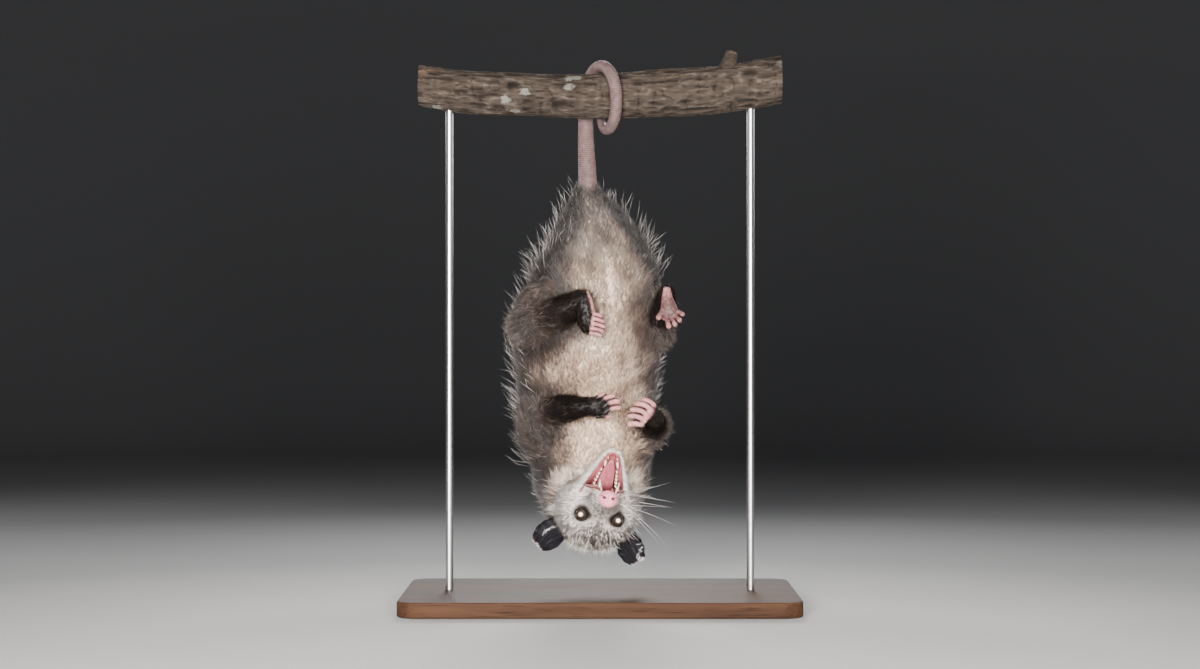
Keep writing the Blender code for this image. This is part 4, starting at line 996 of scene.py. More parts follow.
class Body:
    """All the lofts of the animal, named, and the questions that the skin and the coat ask of them."""

    def __init__(self) -> None:
        """Builds every loft."""
        self.lofts: dict[str, Loft] = {}
        self.add_trunk()
        self.add_head()
        for key, rows in LIMB_ROWS.items():
            self.add_limb(key, rows)
        for key, paw in PAWS.items():
            self.add_pad(key, paw)
        self.add_tail()

    def add(
        self,
        name: str,
        places: Array,
        centre: Array,
        ways: tuple[Array, Array],
        sizes: Array,
        inset: Array,
        fullness: float = 2.0,
    ) -> None:
        """Makes one loft and keeps it under its name.

        Args:
            name: its name.
            places: its stations' places along it.
            centre: their middles.
            ways: across and up, one for all or one each.
            sizes: half width and the depths above and below, or one radius each.
            inset: the coat's depth.
            fullness: the superellipse's power.
        """
        count = len(places)
        shares = (places - places[0]) / (places[-1] - places[0])
        sizes = sizes if sizes.ndim == 2 else np.repeat(sizes[:, None], 3, 1)
        parts = [np.broadcast_to(np.asarray(a, float), (count, 3)) for a in (centre, *ways, sizes)]
        self.lofts[name] = Loft(shares, *parts, np.broadcast_to(inset, count), fullness)

    def add_trunk(self) -> None:
        """The torso, from its foot to the tail's root, and the neck, from there to the head."""
        rows = np.array(TORSO_ROWS)
        inset = np.interp(rows[:, 0], (138, 400, 438), (7, 6, 2)) * MM
        ways = (LEFT_SIDE, BELLY)
        self.add("torso", rows[:, 0], rows[:, (1, 2, 0)] * MM, ways, rows[:, 3:6] * MM, inset, 2.25)
        rows = np.array(NECK_ROWS)
        turn = np.radians(rows[:, 4])
        throat = np.stack((0 * turn, -np.cos(turn), np.sin(turn)), -1)
        ways = (LEFT_SIDE, throat)
        self.add("neck", rows[:, 0], rows[:, 1:4] * MM, ways, rows[:, 5:8] * MM, 7 * MM, 2.25)

    def add_head(self) -> None:
        """The head with its upper jaw, and the lower jaw as a plain form for the coat's roots."""
        place, half, top, bottom, deep = (np.array(HEAD_ROWS) * MM).T
        middle = 0.5 * (top + bottom)
        sizes = np.stack((half, top - middle, middle - bottom), -1)
        self.add("head", place, on_head(place, 0, middle), (LEFT, UP), sizes, deep, 2.15)
        self.lofts["head"].shape = shape_head
        place, half, deep = JAW_LINE.T
        sizes = np.stack((half * 1.08, 0.25 * deep, deep), -1)
        self.add("lower_jaw", place, on_jaw(place, 0, -0.06 * deep), (LEFT, JAW_OUT), sizes, 0.8 * MM)

    def add_limb(self, name: str, rows: Sequence) -> None:
        """One length of a limb along its joints, round, with rounded ends beyond them.

        Args:
            name: its name.
            rows: x, y, z and radius at its joints, in mm.
        """
        line = through([(i, *row) for i, row in enumerate(rows)], np.linspace(0, len(rows) - 1, 9)) * MM
        points, radii = line[:, :3], line[:, 3]
        first, last = unit(points[0] - points[1]), unit(points[-1] - points[-2])
        before = [points[0] + first * radii[0] * lift for lift in (0.95, 0.8, 0.45)]
        after = [points[-1] + last * radii[-1] * lift for lift in (0.45, 0.8, 0.95)]
        points = np.vstack((before, points, after))
        ends = np.array((0.2, 0.6, 0.89))
        radii = np.concatenate((radii[0] * ends, radii, radii[-1] * ends[::-1]))
        ways = unit(np.gradient(points, axis=0))
        across = unit(np.cross(ways, (0.31, 0.2, 1.0)))
        deep = np.interp(radii, (0.009, 0.016, 0.026), (1.2 * MM, 3.5 * MM, 5.5 * MM))
        self.add(name, distances(points), points, (across, np.cross(ways, across)), radii, deep)

    def add_pad(self, name: str, paw: Paw) -> None:
        """A palm or sole."""
        rows = np.array(paw.pad) * MM
        centre, wide = rows[:, :3], np.array(paw.wide)
        ways = unit(np.gradient(centre, axis=0))
        across = unit(wide - ways * (ways @ wide)[:, None])
        sizes = rows[:, (3, 4, 4)]
        self.add(name, distances(centre), centre, (across, np.cross(ways, across)), sizes, 0.2 * MM, 2.2)

    def add_tail(self) -> None:
        """The tail: up behind the branch, over it, down its front and back under it."""
        rise = np.linspace(0, 1, 7)[:-1, None]
        turns = np.linspace(0, TAIL_TURNS[-1][0], 34)
        x, slack = through(TAIL_TURNS, turns).T * MM
        radius = through(((0, 8.2), (0.25, 6.6), (0.5, 6.8), (0.92, 4.6)), turns)[:, 0] * MM
        reach = BRANCH_RADIUS + radius + slack + 0.6 * MM
        angle = 2 * np.pi * turns
        wrap = np.stack((x, reach * np.cos(angle), branch_middle(x) + reach * np.sin(angle)), -1)
        points = np.vstack((TAIL_BASE * (1 - rise) + TAIL_BEHIND * rise, wrap))
        for _ in range(3):
            points[1:-1] = 0.25 * points[:-2] + 0.5 * points[1:-1] + 0.25 * points[2:]
        points = np.vstack((TAIL_BASE + np.array(((1.0, 0, -12.0), (0.5, 0, -6.0))) * MM, points))
        lengths = distances(points) - 12 * MM
        radii = through(TAIL_THICKNESS, np.clip(lengths / lengths[-1], 0, 1))[:, 0] * MM
        ways = unit(np.gradient(points, axis=0))
        across = unit(np.cross(ways, (1.0, 0.2, 0.1)))
        self.add("tail", lengths, points, (across, np.cross(ways, across)), radii, 0.1 * MM)
        self.tail_points, self.tail_lengths = points, lengths

    def buried(self, points: Array, own: Sequence[str]) -> Array:
        """Which points lie inside another loft's skin, or less than half a millimetre outside it.

        Args:
            points: (n, 3) places.
            own: the lofts that don't count.

        Returns:
            (n,) truths.
        """
        hidden = np.zeros(len(points), bool)
        for name, loft in self.lofts.items():
            low, high = loft.centre.min(0) - loft.sizes.max(), loft.centre.max(0) + loft.sizes.max()
            near = np.all((points > low) & (points < high), axis=1) & ~hidden
            if name not in own and near.any():
                hidden[near] = loft.away(points[near]) < 0.5 * MM - loft.inset.max()
        return hidden


# Digits and small cones


def bent_cones(
    roots: Array,
    ways: Array,
    curls: Array,
    lengths: Array,
    radii: Array,
    profile: Sequence[float],
    sides: int,
) -> tuple[Surface, Array]:
    """Many bent tapering tubes at once.

    Each runs from its root along way + t * curl, turned back to length 1, and has the radius r * profile(t).

    Args:
        roots: (n, 3) starts.
        ways: (n, 3) first directions.
        curls: (n, 3) what is added to the direction by the tip.
        lengths: (n,) lengths.
        radii: (n,) radii.
        profile: the radius's share at even steps from root to tip.
        sides: points round each ring.

    Returns:
        The surface and each point's share of its length.
    """
    rows = len(profile)
    t = np.linspace(0, 1, rows)
    directions = unit(ways[:, None] + t[None, :, None] * curls[:, None])
    steps = directions[:, :-1] * (lengths / (rows - 1))[:, None, None]
    line = roots[:, None] + np.concatenate((np.zeros((len(roots), 1, 3)), np.cumsum(steps, axis=1)), axis=1)
    across = unit(np.cross(directions, unit(ways + np.array((0.13, 0.31, 0.57)))[:, None]))
    up = np.cross(directions, across)
    turn = 2 * np.pi * np.arange(sides) / sides
    radius = radii[:, None] * np.asarray(profile)[None]
    ring = across[:, :, None] * np.cos(turn)[:, None] + up[:, :, None] * np.sin(turn)[:, None]
    grids = line[:, :, None] + ring * radius[:, :, None, None]
    shares = np.tile(np.concatenate((np.repeat(t, sides), (0.0, 1.0))), len(roots))
    return joined([closed_tube(grid) for grid in grids]), shares


def digit_rows(key: str) -> tuple[Array, Array, Array, Array, Array]:
    """Roots, ways, curls, lengths and radii of a paw's digits, in metres."""
    rows = np.array(PAWS[key].digits)
    curls = np.tile(np.array(PAWS[key].curl, float), (len(rows), 1))
    return rows[:, :3] * MM, unit(rows[:, 3:6]), curls, rows[:, 6] * MM, rows[:, 7] * MM


def paw_fur(p: Array, name: str) -> Array:
    """Where a paw is furred: the backs of the hands and of the left foot, and the far side of the right one.

    Args:
        p: (n, 3) places on the paw.
        name: the paw.

    Returns:
        1 where it is furred, 0 where it is bare.
    """
    points = np.array(PAWS[name].pad)[:, :3] * MM
    if name == "foot_left":
        high, line = (0.286, 0.300, 0.308, 0.318, 0.327), (-0.0105, -0.0085, -0.0080, -0.0105, -0.0130)
        return 1 - smoothstep(-1.2 * MM, 0.6 * MM, p[:, 0] - np.interp(p[:, 2], high, line))
    if name == "foot_right":
        middle = np.interp(p[:, 2], points[::-1, 2], points[::-1, 1])
        return smoothstep(-1.0 * MM, 1.5 * MM, p[:, 1] - middle)
    way = unit(points[-1] - points[0])
    edge = np.dot(points[-1] - points[0], way) + (8.0 if name == "hand_left" else -3.0) * MM
    return 1 - smoothstep(edge - 2.5 * MM, edge + 1.0 * MM, (p - points[0]) @ way)


# Markings


# Tone and warmth of the upper limbs away from the trunk
HAUNCHES = {
    "thigh_left": (0.19, 0.32),
    "thigh_right": (0.18, 0.35),
    "upper_arm_left": (0.18, 0.35),
    "upper_arm_right": (0.22, 0.4),
}
# Painted shadows that the limbs cast on the trunk beside and below them: which limb, how dark and how far
LIMB_SHADOWS = (
    ("shin_left", 0.62, 13), ("thigh_left", 0.22, 13), ("forearm_left", 0.80, 15), ("hand_left", 0.50, 8),
    ("upper_arm_left", 0.30, 14), ("shin_right", 0.40, 11), ("thigh_right", 0.22, 14),
    ("forearm_right", 0.50, 11),
)
# Pale places on the belly: x, z, width, height and strength
PALE_SPOTS = (
    (3, 338, 18, 24, 0.10), (9, 191, 12, 18, 0.16), (30, 338, 14, 20, 0.04), (38, 214, 12, 24, 0.04),
)
LIMB_DARK = (0.012, 0.55)
JAW_WHITE = (0.97, 0.12)


class Markings:
    """Where the animal is dark or pale and grey or cream, as formulas of place, for skin and coat alike."""

    def __init__(self, body: Body) -> None:
        """Keeps the body, whose lofts the formulas read."""
        self.body = body

    def near(self, p: Array, name: str, reach: float) -> Array:
        """A hill of that reach in millimetres round one loft."""
        return hill(np.maximum(self.body.lofts[name].away(p), 0), reach * MM)

    def torso(self, p: Array) -> tuple[Array, Array]:
        """Cream belly, paler down the middle and at the chest, dark grey flanks and back, mottled, with
        painted shadows beside and below the limbs.

        Args:
            p: (n, 3) places.

        Returns:
            Tone and warmth.
        """
        rows = [(z * MM, x * MM, y * MM) for z, x, y, *_ in TORSO_ROWS]
        x, z = p[:, 0], p[:, 2]
        middle = through(rows, z)
        around = np.stack((x - middle[:, 0], p[:, 1] - middle[:, 1], 0 * middle[:, 0]), -1)
        facing = (unit(around) @ BELLY) + 0.10 * noise(p, 24 * MM, 1)
        high, above = smoothstep(0.352, 0.41, z), smoothstep(0.33, 0.39, z)
        front = smoothstep(0.0, 1.0, (facing - 0.24 - 0.23 * above) / (0.52 - 0.10 * above))
        low = 1 - smoothstep(0.185, 0.235, z)
        belly_tone = 0.70 - 0.13 * high + 0.15 * low - 0.22 * smoothstep(0.405, 0.45, z)
        belly_warm = 0.92 - 0.40 * high + 0.10 * low
        off = around @ LEFT_SIDE
        edge = smoothstep(12 * MM, 48 * MM, np.abs(off))
        belly_tone += 0.10 * hill(off, 17 * MM) * (1 - high) - 0.17 * edge
        right, left = smoothstep(20 * MM, 50 * MM, -off), smoothstep(16 * MM, 44 * MM, off)
        belly_tone -= 0.03 * right + 0.10 * low * left
        for spot_x, spot_z, wide, tall, much in PALE_SPOTS:
            belly_tone += much * np.exp(-(((x / MM - spot_x) / wide) ** 2) - ((z / MM - spot_z) / tall) ** 2)
        streaks = noise(p * np.array((1.0, 1.0, 0.5)), 8 * MM, 3)
        coarse, fine = 0.19 * noise(p, 22 * MM, 2), 0.15 * noise(p, 10 * MM, 9)
        belly_tone += coarse + fine + (0.13 + 0.12 * edge) * streaks
        belly_warm += 0.22 * noise(p, 30 * MM, 4) - 0.20 * edge
        back_tone = 0.170 + 0.12 * smoothstep(0.1, 0.8, -facing)
        back_tone = back_tone + 0.07 * noise(p, 15 * MM, 5) + 0.07 * streaks
        tone = back_tone * (1 - front) + belly_tone * front
        # Painted shadows of the limbs: the place is raised 5 mm, so each shadow falls below its limb.
        for key, much, reach in LIMB_SHADOWS:
            tone = tone * (1 - much * self.near(p + np.array((0, 0, 5.0)) * MM, key, reach))
        return tone, 0.30 * (1 - front) + belly_warm * front

    def neck(self, p: Array) -> tuple[Array, Array]:
        """Cream throat, dark grey sides and nape, white towards the jaw."""
        front = smoothstep(0.12, 0.66, unit(p - np.array((-8, 0, 120)) * MM) @ BELLY)
        jaw = self.near(p, "lower_jaw", 19)
        near_head = 1 - smoothstep(22 * MM, 44 * MM, norm(p - HEAD_MIDDLE))
        tone = 0.20 + 0.58 * front + 0.12 * noise(p, 14 * MM, 6) + 0.08 * near_head * front
        warm = 0.25 + 0.60 * front - 0.35 * near_head - 0.35 * jaw
        return tone + (0.97 - tone) * 0.8 * jaw, warm

    def head(self, p: Array) -> tuple[Array, Array]:
        """White face, greyer muzzle, dark round the eyes and a smudge from between them up to the crown.

        Args:
            p: (n, 3) places.

        Returns:
            Tone and warmth.
        """
        place, side, rise = from_head(p)
        tone = 0.99 - 0.14 * smoothstep(0.046, 0.070, place) + 0.03 * noise(p, 9 * MM, 7)
        tone -= 0.03 * (1 - smoothstep(-0.042, -0.020, place)) * smoothstep(-0.012, 0.012, rise)
        smudge = hill(side, 2.4 * MM) * smoothstep(0.0, 0.008, rise)
        smudge *= smoothstep(-0.020, -0.002, place) * (1 - smoothstep(0.016, 0.026, place))
        bridge = hill(side, 11 * MM) * hill(place - 0.050, 0.010) * (rise > 0)
        tone -= 0.12 * smudge + 0.14 * bridge
        warm = 0.24 + 0.12 * smoothstep(-0.004, -0.026, rise) + (0.08 * smudge + 0.10 * bridge)
        for sign in (-1, 1):
            rel = p - (eye_middle(sign) + eye_way(sign) * 4 * MM)
            stretch = np.abs(rel @ unit(AHEAD * 0.8 + LEFT * -sign * 0.35)) * 0.22
            tone -= 0.90 * (1 - smoothstep(0.0074, 0.0132, norm(rel) - stretch))
            tone -= 0.35 * hill(norm(p - on_head(-4 * MM, sign * 33 * MM, 26 * MM)), 9 * MM)
        return tone, warm

    def haunch(self, p: Array, base: float, warm: float) -> tuple[Array, Array]:
        """A thigh or upper arm: the trunk's own marking close to the trunk, its own tone further out."""
        trunk_tone, trunk_warm = self.torso(p)
        out = smoothstep(-1 * MM, 8 * MM, self.body.lofts["torso"].away(p))
        own = base + 0.08 * noise(p, 10 * MM, 8)
        x, z = p[:, 0], p[:, 2]
        own += 0.20 * (1 - smoothstep(0.268, 0.288, z)) * smoothstep(-0.052, -0.068, x) * (z > 0.24)
        return trunk_tone + (own - trunk_tone) * out, trunk_warm + (warm - trunk_warm) * out

    def lower_limb(self, p: Array, name: str) -> Array:
        """How much paler a shin or forearm is towards the trunk."""
        near, far = (np.array(LIMB_ROWS[name][k][:3]) * MM for k in (0, -1))
        along = ((p - near) @ (far - near)) / np.dot(far - near, far - near)
        paler = 0.04 if name.endswith("right") else 0.13
        return paler * (1 - smoothstep(0.0, 0.75 if name.startswith("shin") else 0.45, along))

    def read(self, p: Array, name: str) -> tuple[Array, Array]:
        """Tone and warmth at places on one loft.

        Args:
            p: (n, 3) places.
            name: the loft.

        Returns:
            Tone from black to white and warmth from grey to cream.
        """
        if name in ("torso", "neck", "head"):
            tone, warm = getattr(self, name)(p)
        elif name in HAUNCHES:
            tone, warm = self.haunch(p, *HAUNCHES[name])
        else:
            base, warm = JAW_WHITE if name == "lower_jaw" else LIMB_DARK
            tone, warm = base + 0.03 * noise(p, 10 * MM, 8), np.full(len(p), warm)
            if name in LIMB_ROWS:
                tone = tone + self.lower_limb(p, name)
        return np.clip(tone, 0.01, 1.0), np.clip(warm, 0, 1)


# Skin


# The lower jaw's section: turn, side and out of the gum
JAW_PROFILE = (
    (0.00, 1.0, 0.0), (0.06, 1.08, -0.25), (0.14, 0.95, -0.62), (0.22, 0.55, -0.94), (0.28, 0.0, -1.0),
    (0.34, -0.55, -0.94), (0.42, -0.95, -0.62), (0.50, -1.08, -0.25), (0.56, -1.0, 0.0), (0.62, -0.74, 0.05),
    (0.69, -0.48, -0.30), (0.78, 0.0, -0.42), (0.87, 0.48, -0.30), (0.94, 0.74, 0.05), (1.00, 1.0, 0.0),
)
DIGIT_PROFILE = (0.8, 0.98, 0.98, 0.90, 0.97, 0.90, 0.98, 1.10, 1.04, 0.62)
DIGIT_ROOT, DIGIT_MORE = 4 * MM, 3.6 * MM


@dataclass
class Skin:
    """The one skin over every soft form: all lofts and digits joined by a voxel remesh, then smoothed."""

    body: Body
    markings: Markings
    voxel: float = 1.2 * MM
    paw_voxel: float = 0.42 * MM

    @staticmethod
    def jaw_tube() -> Surface:
        """The lower jaw: chin outline below, lip, gum and trough above, from the corner to the tip."""
        place, turn = np.meshgrid(np.linspace(-16, 56, 60) * MM, np.arange(56) / 56, indexing="ij")
        half, deep = columns_of(JAW_LINE, place)
        side, out = columns_of(JAW_PROFILE, turn)
        return closed_tube(on_jaw(place, side * (half - 0.5 * MM), out * deep))

    @staticmethod
    def digits(key: str) -> Surface:
        """A paw's fingers or toes, each a bent tube with thicker joints and a pad under its tip."""
        roots, ways, curls, lengths, radii = digit_rows(key)
        roots, lengths = roots - ways * DIGIT_ROOT, lengths + DIGIT_MORE
        return bent_cones(roots, ways, curls, lengths, radii, DIGIT_PROFILE, 16)[0]

    @staticmethod
    def union(parts: list[Surface], voxel: float, passes: int, keep: float) -> Surface:
        """Closed forms made one surface on a lattice, then smoothed and thinned.

        Args:
            parts: the forms.
            voxel: the lattice's step in metres.
            passes: how often it is smoothed.
            keep: the share of the faces that is kept.

        Returns:
            The one surface.
        """
        obj = link("forms", fill_mesh("forms", joined(parts), False))
        changes = (
            ("REMESH", {"mode": "VOXEL", "voxel_size": voxel}),
            ("SMOOTH", {"factor": 0.5, "iterations": passes}),
            ("DECIMATE", {"ratio": keep}),
        )
        for kind, settings in changes:
            modifier = obj.modifiers.new(kind.lower(), kind)
            for key, value in settings.items():
                setattr(modifier, key, value)
        made = bpy.data.meshes.new_from_object(obj.evaluated_get(bpy.context.evaluated_depsgraph_get()))
        points = np.empty((len(made.vertices), 3), np.float32)
        made.vertices.foreach_get("co", points.ravel())
        made.calc_loop_triangles()
        faces = np.empty((len(made.loop_triangles), 3), np.int32)
        made.loop_triangles.foreach_get("vertices", faces.ravel())
        bpy.data.objects.remove(obj)
        return points.astype(float), np.hstack((faces, np.full((len(faces), 1), -1)))

    def build(self) -> Thing:
        """Joins the body on a coarse lattice and each paw on a fine one, and marks the skin."""
        sizes = {"torso": (70, 72), "neck": (30, 72), "head": (110, 110), "tail": (220, 26)}
        lofts = self.body.lofts
        plain = [name for name in lofts if name not in ("lower_jaw", *PAWS)]
        parts = [self.jaw_tube(), *(lofts[name].tube(*sizes.get(name, (28, 32))) for name in plain)]
        surfaces = [self.union(parts, self.voxel, 4, 0.36)]
        for key in PAWS:
            surfaces.append(self.union([lofts[key].tube(40, 40), self.digits(key)], self.paw_voxel, 3, 0.30))
        points, faces = joined(surfaces)
        paws = np.arange(len(points)) >= len(surfaces[0][0])
        return make_object("skin", (points, faces), SkinFinish().make(), Slot.SKIN, self.marks(points, paws))

    def marks(self, p: Array, paws: Array) -> dict[str, Array]:
        """Tone, warmth, bareness and the tail's rings at the skin's points.

        Args:
            p: the skin's points.
            paws: which of them belong to the paws.

        Returns:
            The numbers by name.
        """
        best = np.full(len(p), 1.0)
        tone, warm = np.full(len(p), 0.3), np.full(len(p), 0.3)
        bare, tail = np.zeros(len(p)), np.zeros(len(p), bool)
        for name, loft in self.body.lofts.items():
            away = np.abs(loft.away(p) + loft.inset.mean())
            mine = (away < best) & (paws == (name in PAWS))
            best[mine] = away[mine]
            tail[mine] = name == "tail"
            bare[mine] = name == "tail"
            if name in PAWS:
                bare[mine] = 1 - paw_fur(p[mine], name)
                tone[mine], warm[mine] = 0.03, 0.35
            elif name != "tail" and mine.any():
                tone[mine], warm[mine] = self.markings.read(p[mine], name)
        gap_shade, digit = self.fingers(p, paws)
        strip, ring = self.bare_strip(p), self.rings(p)
        for other in (digit, 0.75 * strip, self.lips(p)):
            bare = np.maximum(bare, other)
        smudge = np.where(tail, hill(ring - 20, 42), 0.0)
        sole = norm((p - np.array((71.5, -60, 310)) * MM) / np.array((14, 30, 17)) / MM)
        return {
            "tone": tone * 0.9, "warm": warm, "bare": bare, "ring": ring, "tail": tail, "smudge": smudge,
            "dusky": paws * (0.17 + 0.9 * np.exp(-(sole**4))), "palm": paws * 1.0, "gap_shade": gap_shade,
            "strip": strip * (1 - paws),
        }

    def rings(self, p: Array) -> Array:
        """How far along the tail the nearest point of its axis is, in millimetres, above the tail's root.

        Args:
            p: the skin's points.

        Returns:
            The lengths, 0 for points far below the tail.
        """
        ends = self.body.tail_lengths
        lengths = np.linspace(ends[0], ends[-1], 120)
        line = np.stack([np.interp(lengths, ends, way) for way in self.body.tail_points.T], -1)
        high = p[:, 2] > 0.425
        nearest, ring = norm(p[high, None] - line[None]).argmin(axis=1), np.zeros(len(p))
        ways = unit(np.gradient(line, axis=0))
        ring[high] = (lengths[nearest] + ((p[high] - line[nearest]) * ways[nearest]).sum(1)) / MM
        return ring

    @staticmethod
    def fingers(p: Array, paws: Array) -> tuple[Array, Array]:
        """Where the skin belongs to digits, by the distance to their bent axes over their radii.

        Args:
            p: the skin's points.
            paws: which of them belong to the paws.

        Returns:
            How deep a point lies between two digits, where the second nearest axis is near too, for the
            painted shade between them, and how bare a digit is there.
        """
        gap_shade, digit = np.zeros(len(p)), np.zeros(len(p))
        share = np.linspace(0, 1, 16)
        for key in PAWS:
            roots, ways, curls, lengths, radii = digit_rows(key)
            whole = lengths + DIGIT_MORE
            steps = unit(ways[:, None] + share[None, :, None] * curls[:, None]) * (whole / 15)[:, None, None]
            line = (roots - ways * DIGIT_ROOT)[:, None] + np.cumsum(steps, axis=1) - 0.5 * steps
            near = np.flatnonzero(paws & (norm(p - line.mean((0, 1))) < 40 * MM))
            away = norm(p[near, None, None] - line[None])
            reach = away.min(axis=2) / radii
            own = reach.argmin(axis=1)
            along = share[away.argmin(axis=2)[np.arange(len(near)), own]] * whole[own] - DIGIT_ROOT
            # Painted shade between two digits, where the second nearest axis is near too.
            between = 1 - smoothstep(1.30, 1.85, np.sort(reach, axis=1)[:, 1])
            gap_shade[near] = np.maximum(gap_shade[near], between * smoothstep(0, 2.5 * MM, along))
            first = (3.0 if key == "hand_left" else 0.5) * MM
            mine = smoothstep(first, first + 3 * MM, along) * (reach.min(axis=1) < 1.7)
            digit[near] = np.maximum(digit[near], mine)
        return gap_shade, digit

    @staticmethod
    def lips(p: Array) -> Array:
        """How much a point belongs to the lips and the inside of the mouth, which are bare.

        Args:
            p: the skin's points.

        Returns:
            1 on the lips and inside the mouth, 0 elsewhere.
        """
        rel = p - JAW_CORNER
        place, side, out = rel @ JAW_WAY, rel @ LEFT, rel @ JAW_OUT
        half = columns_of(JAW_LINE, place)[0]
        jaw = (place > -4 * MM) & (place < 58 * MM) & (np.abs(side) < half + 4 * MM)
        lower = jaw * smoothstep(-3.2 * MM, -1.2 * MM, out) * (out < 6 * MM)
        place, side, rise = from_head(p)
        half, bottom = columns_of(HEAD_LINE, place)
        rise = rise - bottom
        jaw = (place > MOUTH_CORNER + 1 * MM) & (place < 86 * MM) & (np.abs(side) < half + 2 * MM)
        upper = jaw * (1 - smoothstep(1.0 * MM, 2.6 * MM, rise)) * (rise > -8 * MM)
        inside = jaw & (np.abs(side) < 0.8 * half) & (np.abs(rise) < PALATE_RISE + 1 * MM)
        return np.maximum(np.maximum(lower, upper), inside)

    @staticmethod
    def bare_strip(p: Array) -> Array:
        """How bare the skin is down the middle of the lower belly: a soft ellipse at the belly's midline."""
        line = np.interp(p[:, 2], (0.30, 0.345, 0.375), (13 * MM, 11 * MM, 8 * MM))
        off = np.hypot((p[:, 0] - line) / (7 * MM), (p[:, 2] - 0.330) / 0.046)
        return (p[:, 1] < 0) * (1 - smoothstep(0.05, 1.0, off))


# Coat


@dataclass(frozen=True)
class Strand:
    """One kind of hair lock: how dense, long, wide, steep and loose it grows."""

    layer: Layer
    dense: float  # tufts to a square centimetre
    length: float  # mm
    width: float  # mm
    lift: float  # degrees off the skin at the root
    lay: float  # degrees off the skin at the tip
    loose: float  # how far tufts turn out of the lie, in degrees
    hairs: int = 5
    rings: int = 2
    scatter: float = 1.5  # mm between a tuft's hairs
    clump: float = 0.5  # how far their tips draw together
    root: float = 0.55  # the root's share of the tone: darker underfur, and on FACE and CROWN partly painted shade at the roots
    tip: float = 1.0  # the tip's share of the tone
    lighter: float = 0.0  # what is added to the tone at the tip
    varied: float = 0.18  # how far the tone differs from tuft to tuft
    swirl: float = 0.45  # how far the lie wanders over the body


Rule = Callable[[Array, Array, Array], Array]  # of places, shares and turns


@dataclass
class Patch:
    """One piece of the coat: a loft, the part of it that the piece covers, and what grows there."""

    name: str
    loft: str
    s_range: tuple[float, float]
    half_turns: tuple[float, float]
    strand: Strand
    slot: Slot = Slot.FUR_GREY
    backwards: bool = False  # the lie runs against the loft's length
    keep: Optional[Rule] = None
    scale: Optional[Rule] = None
    own: tuple[str, ...] = ()

    def turns(self) -> Array:
        """The turns that it spans."""
        return np.array(self.half_turns) * math.pi


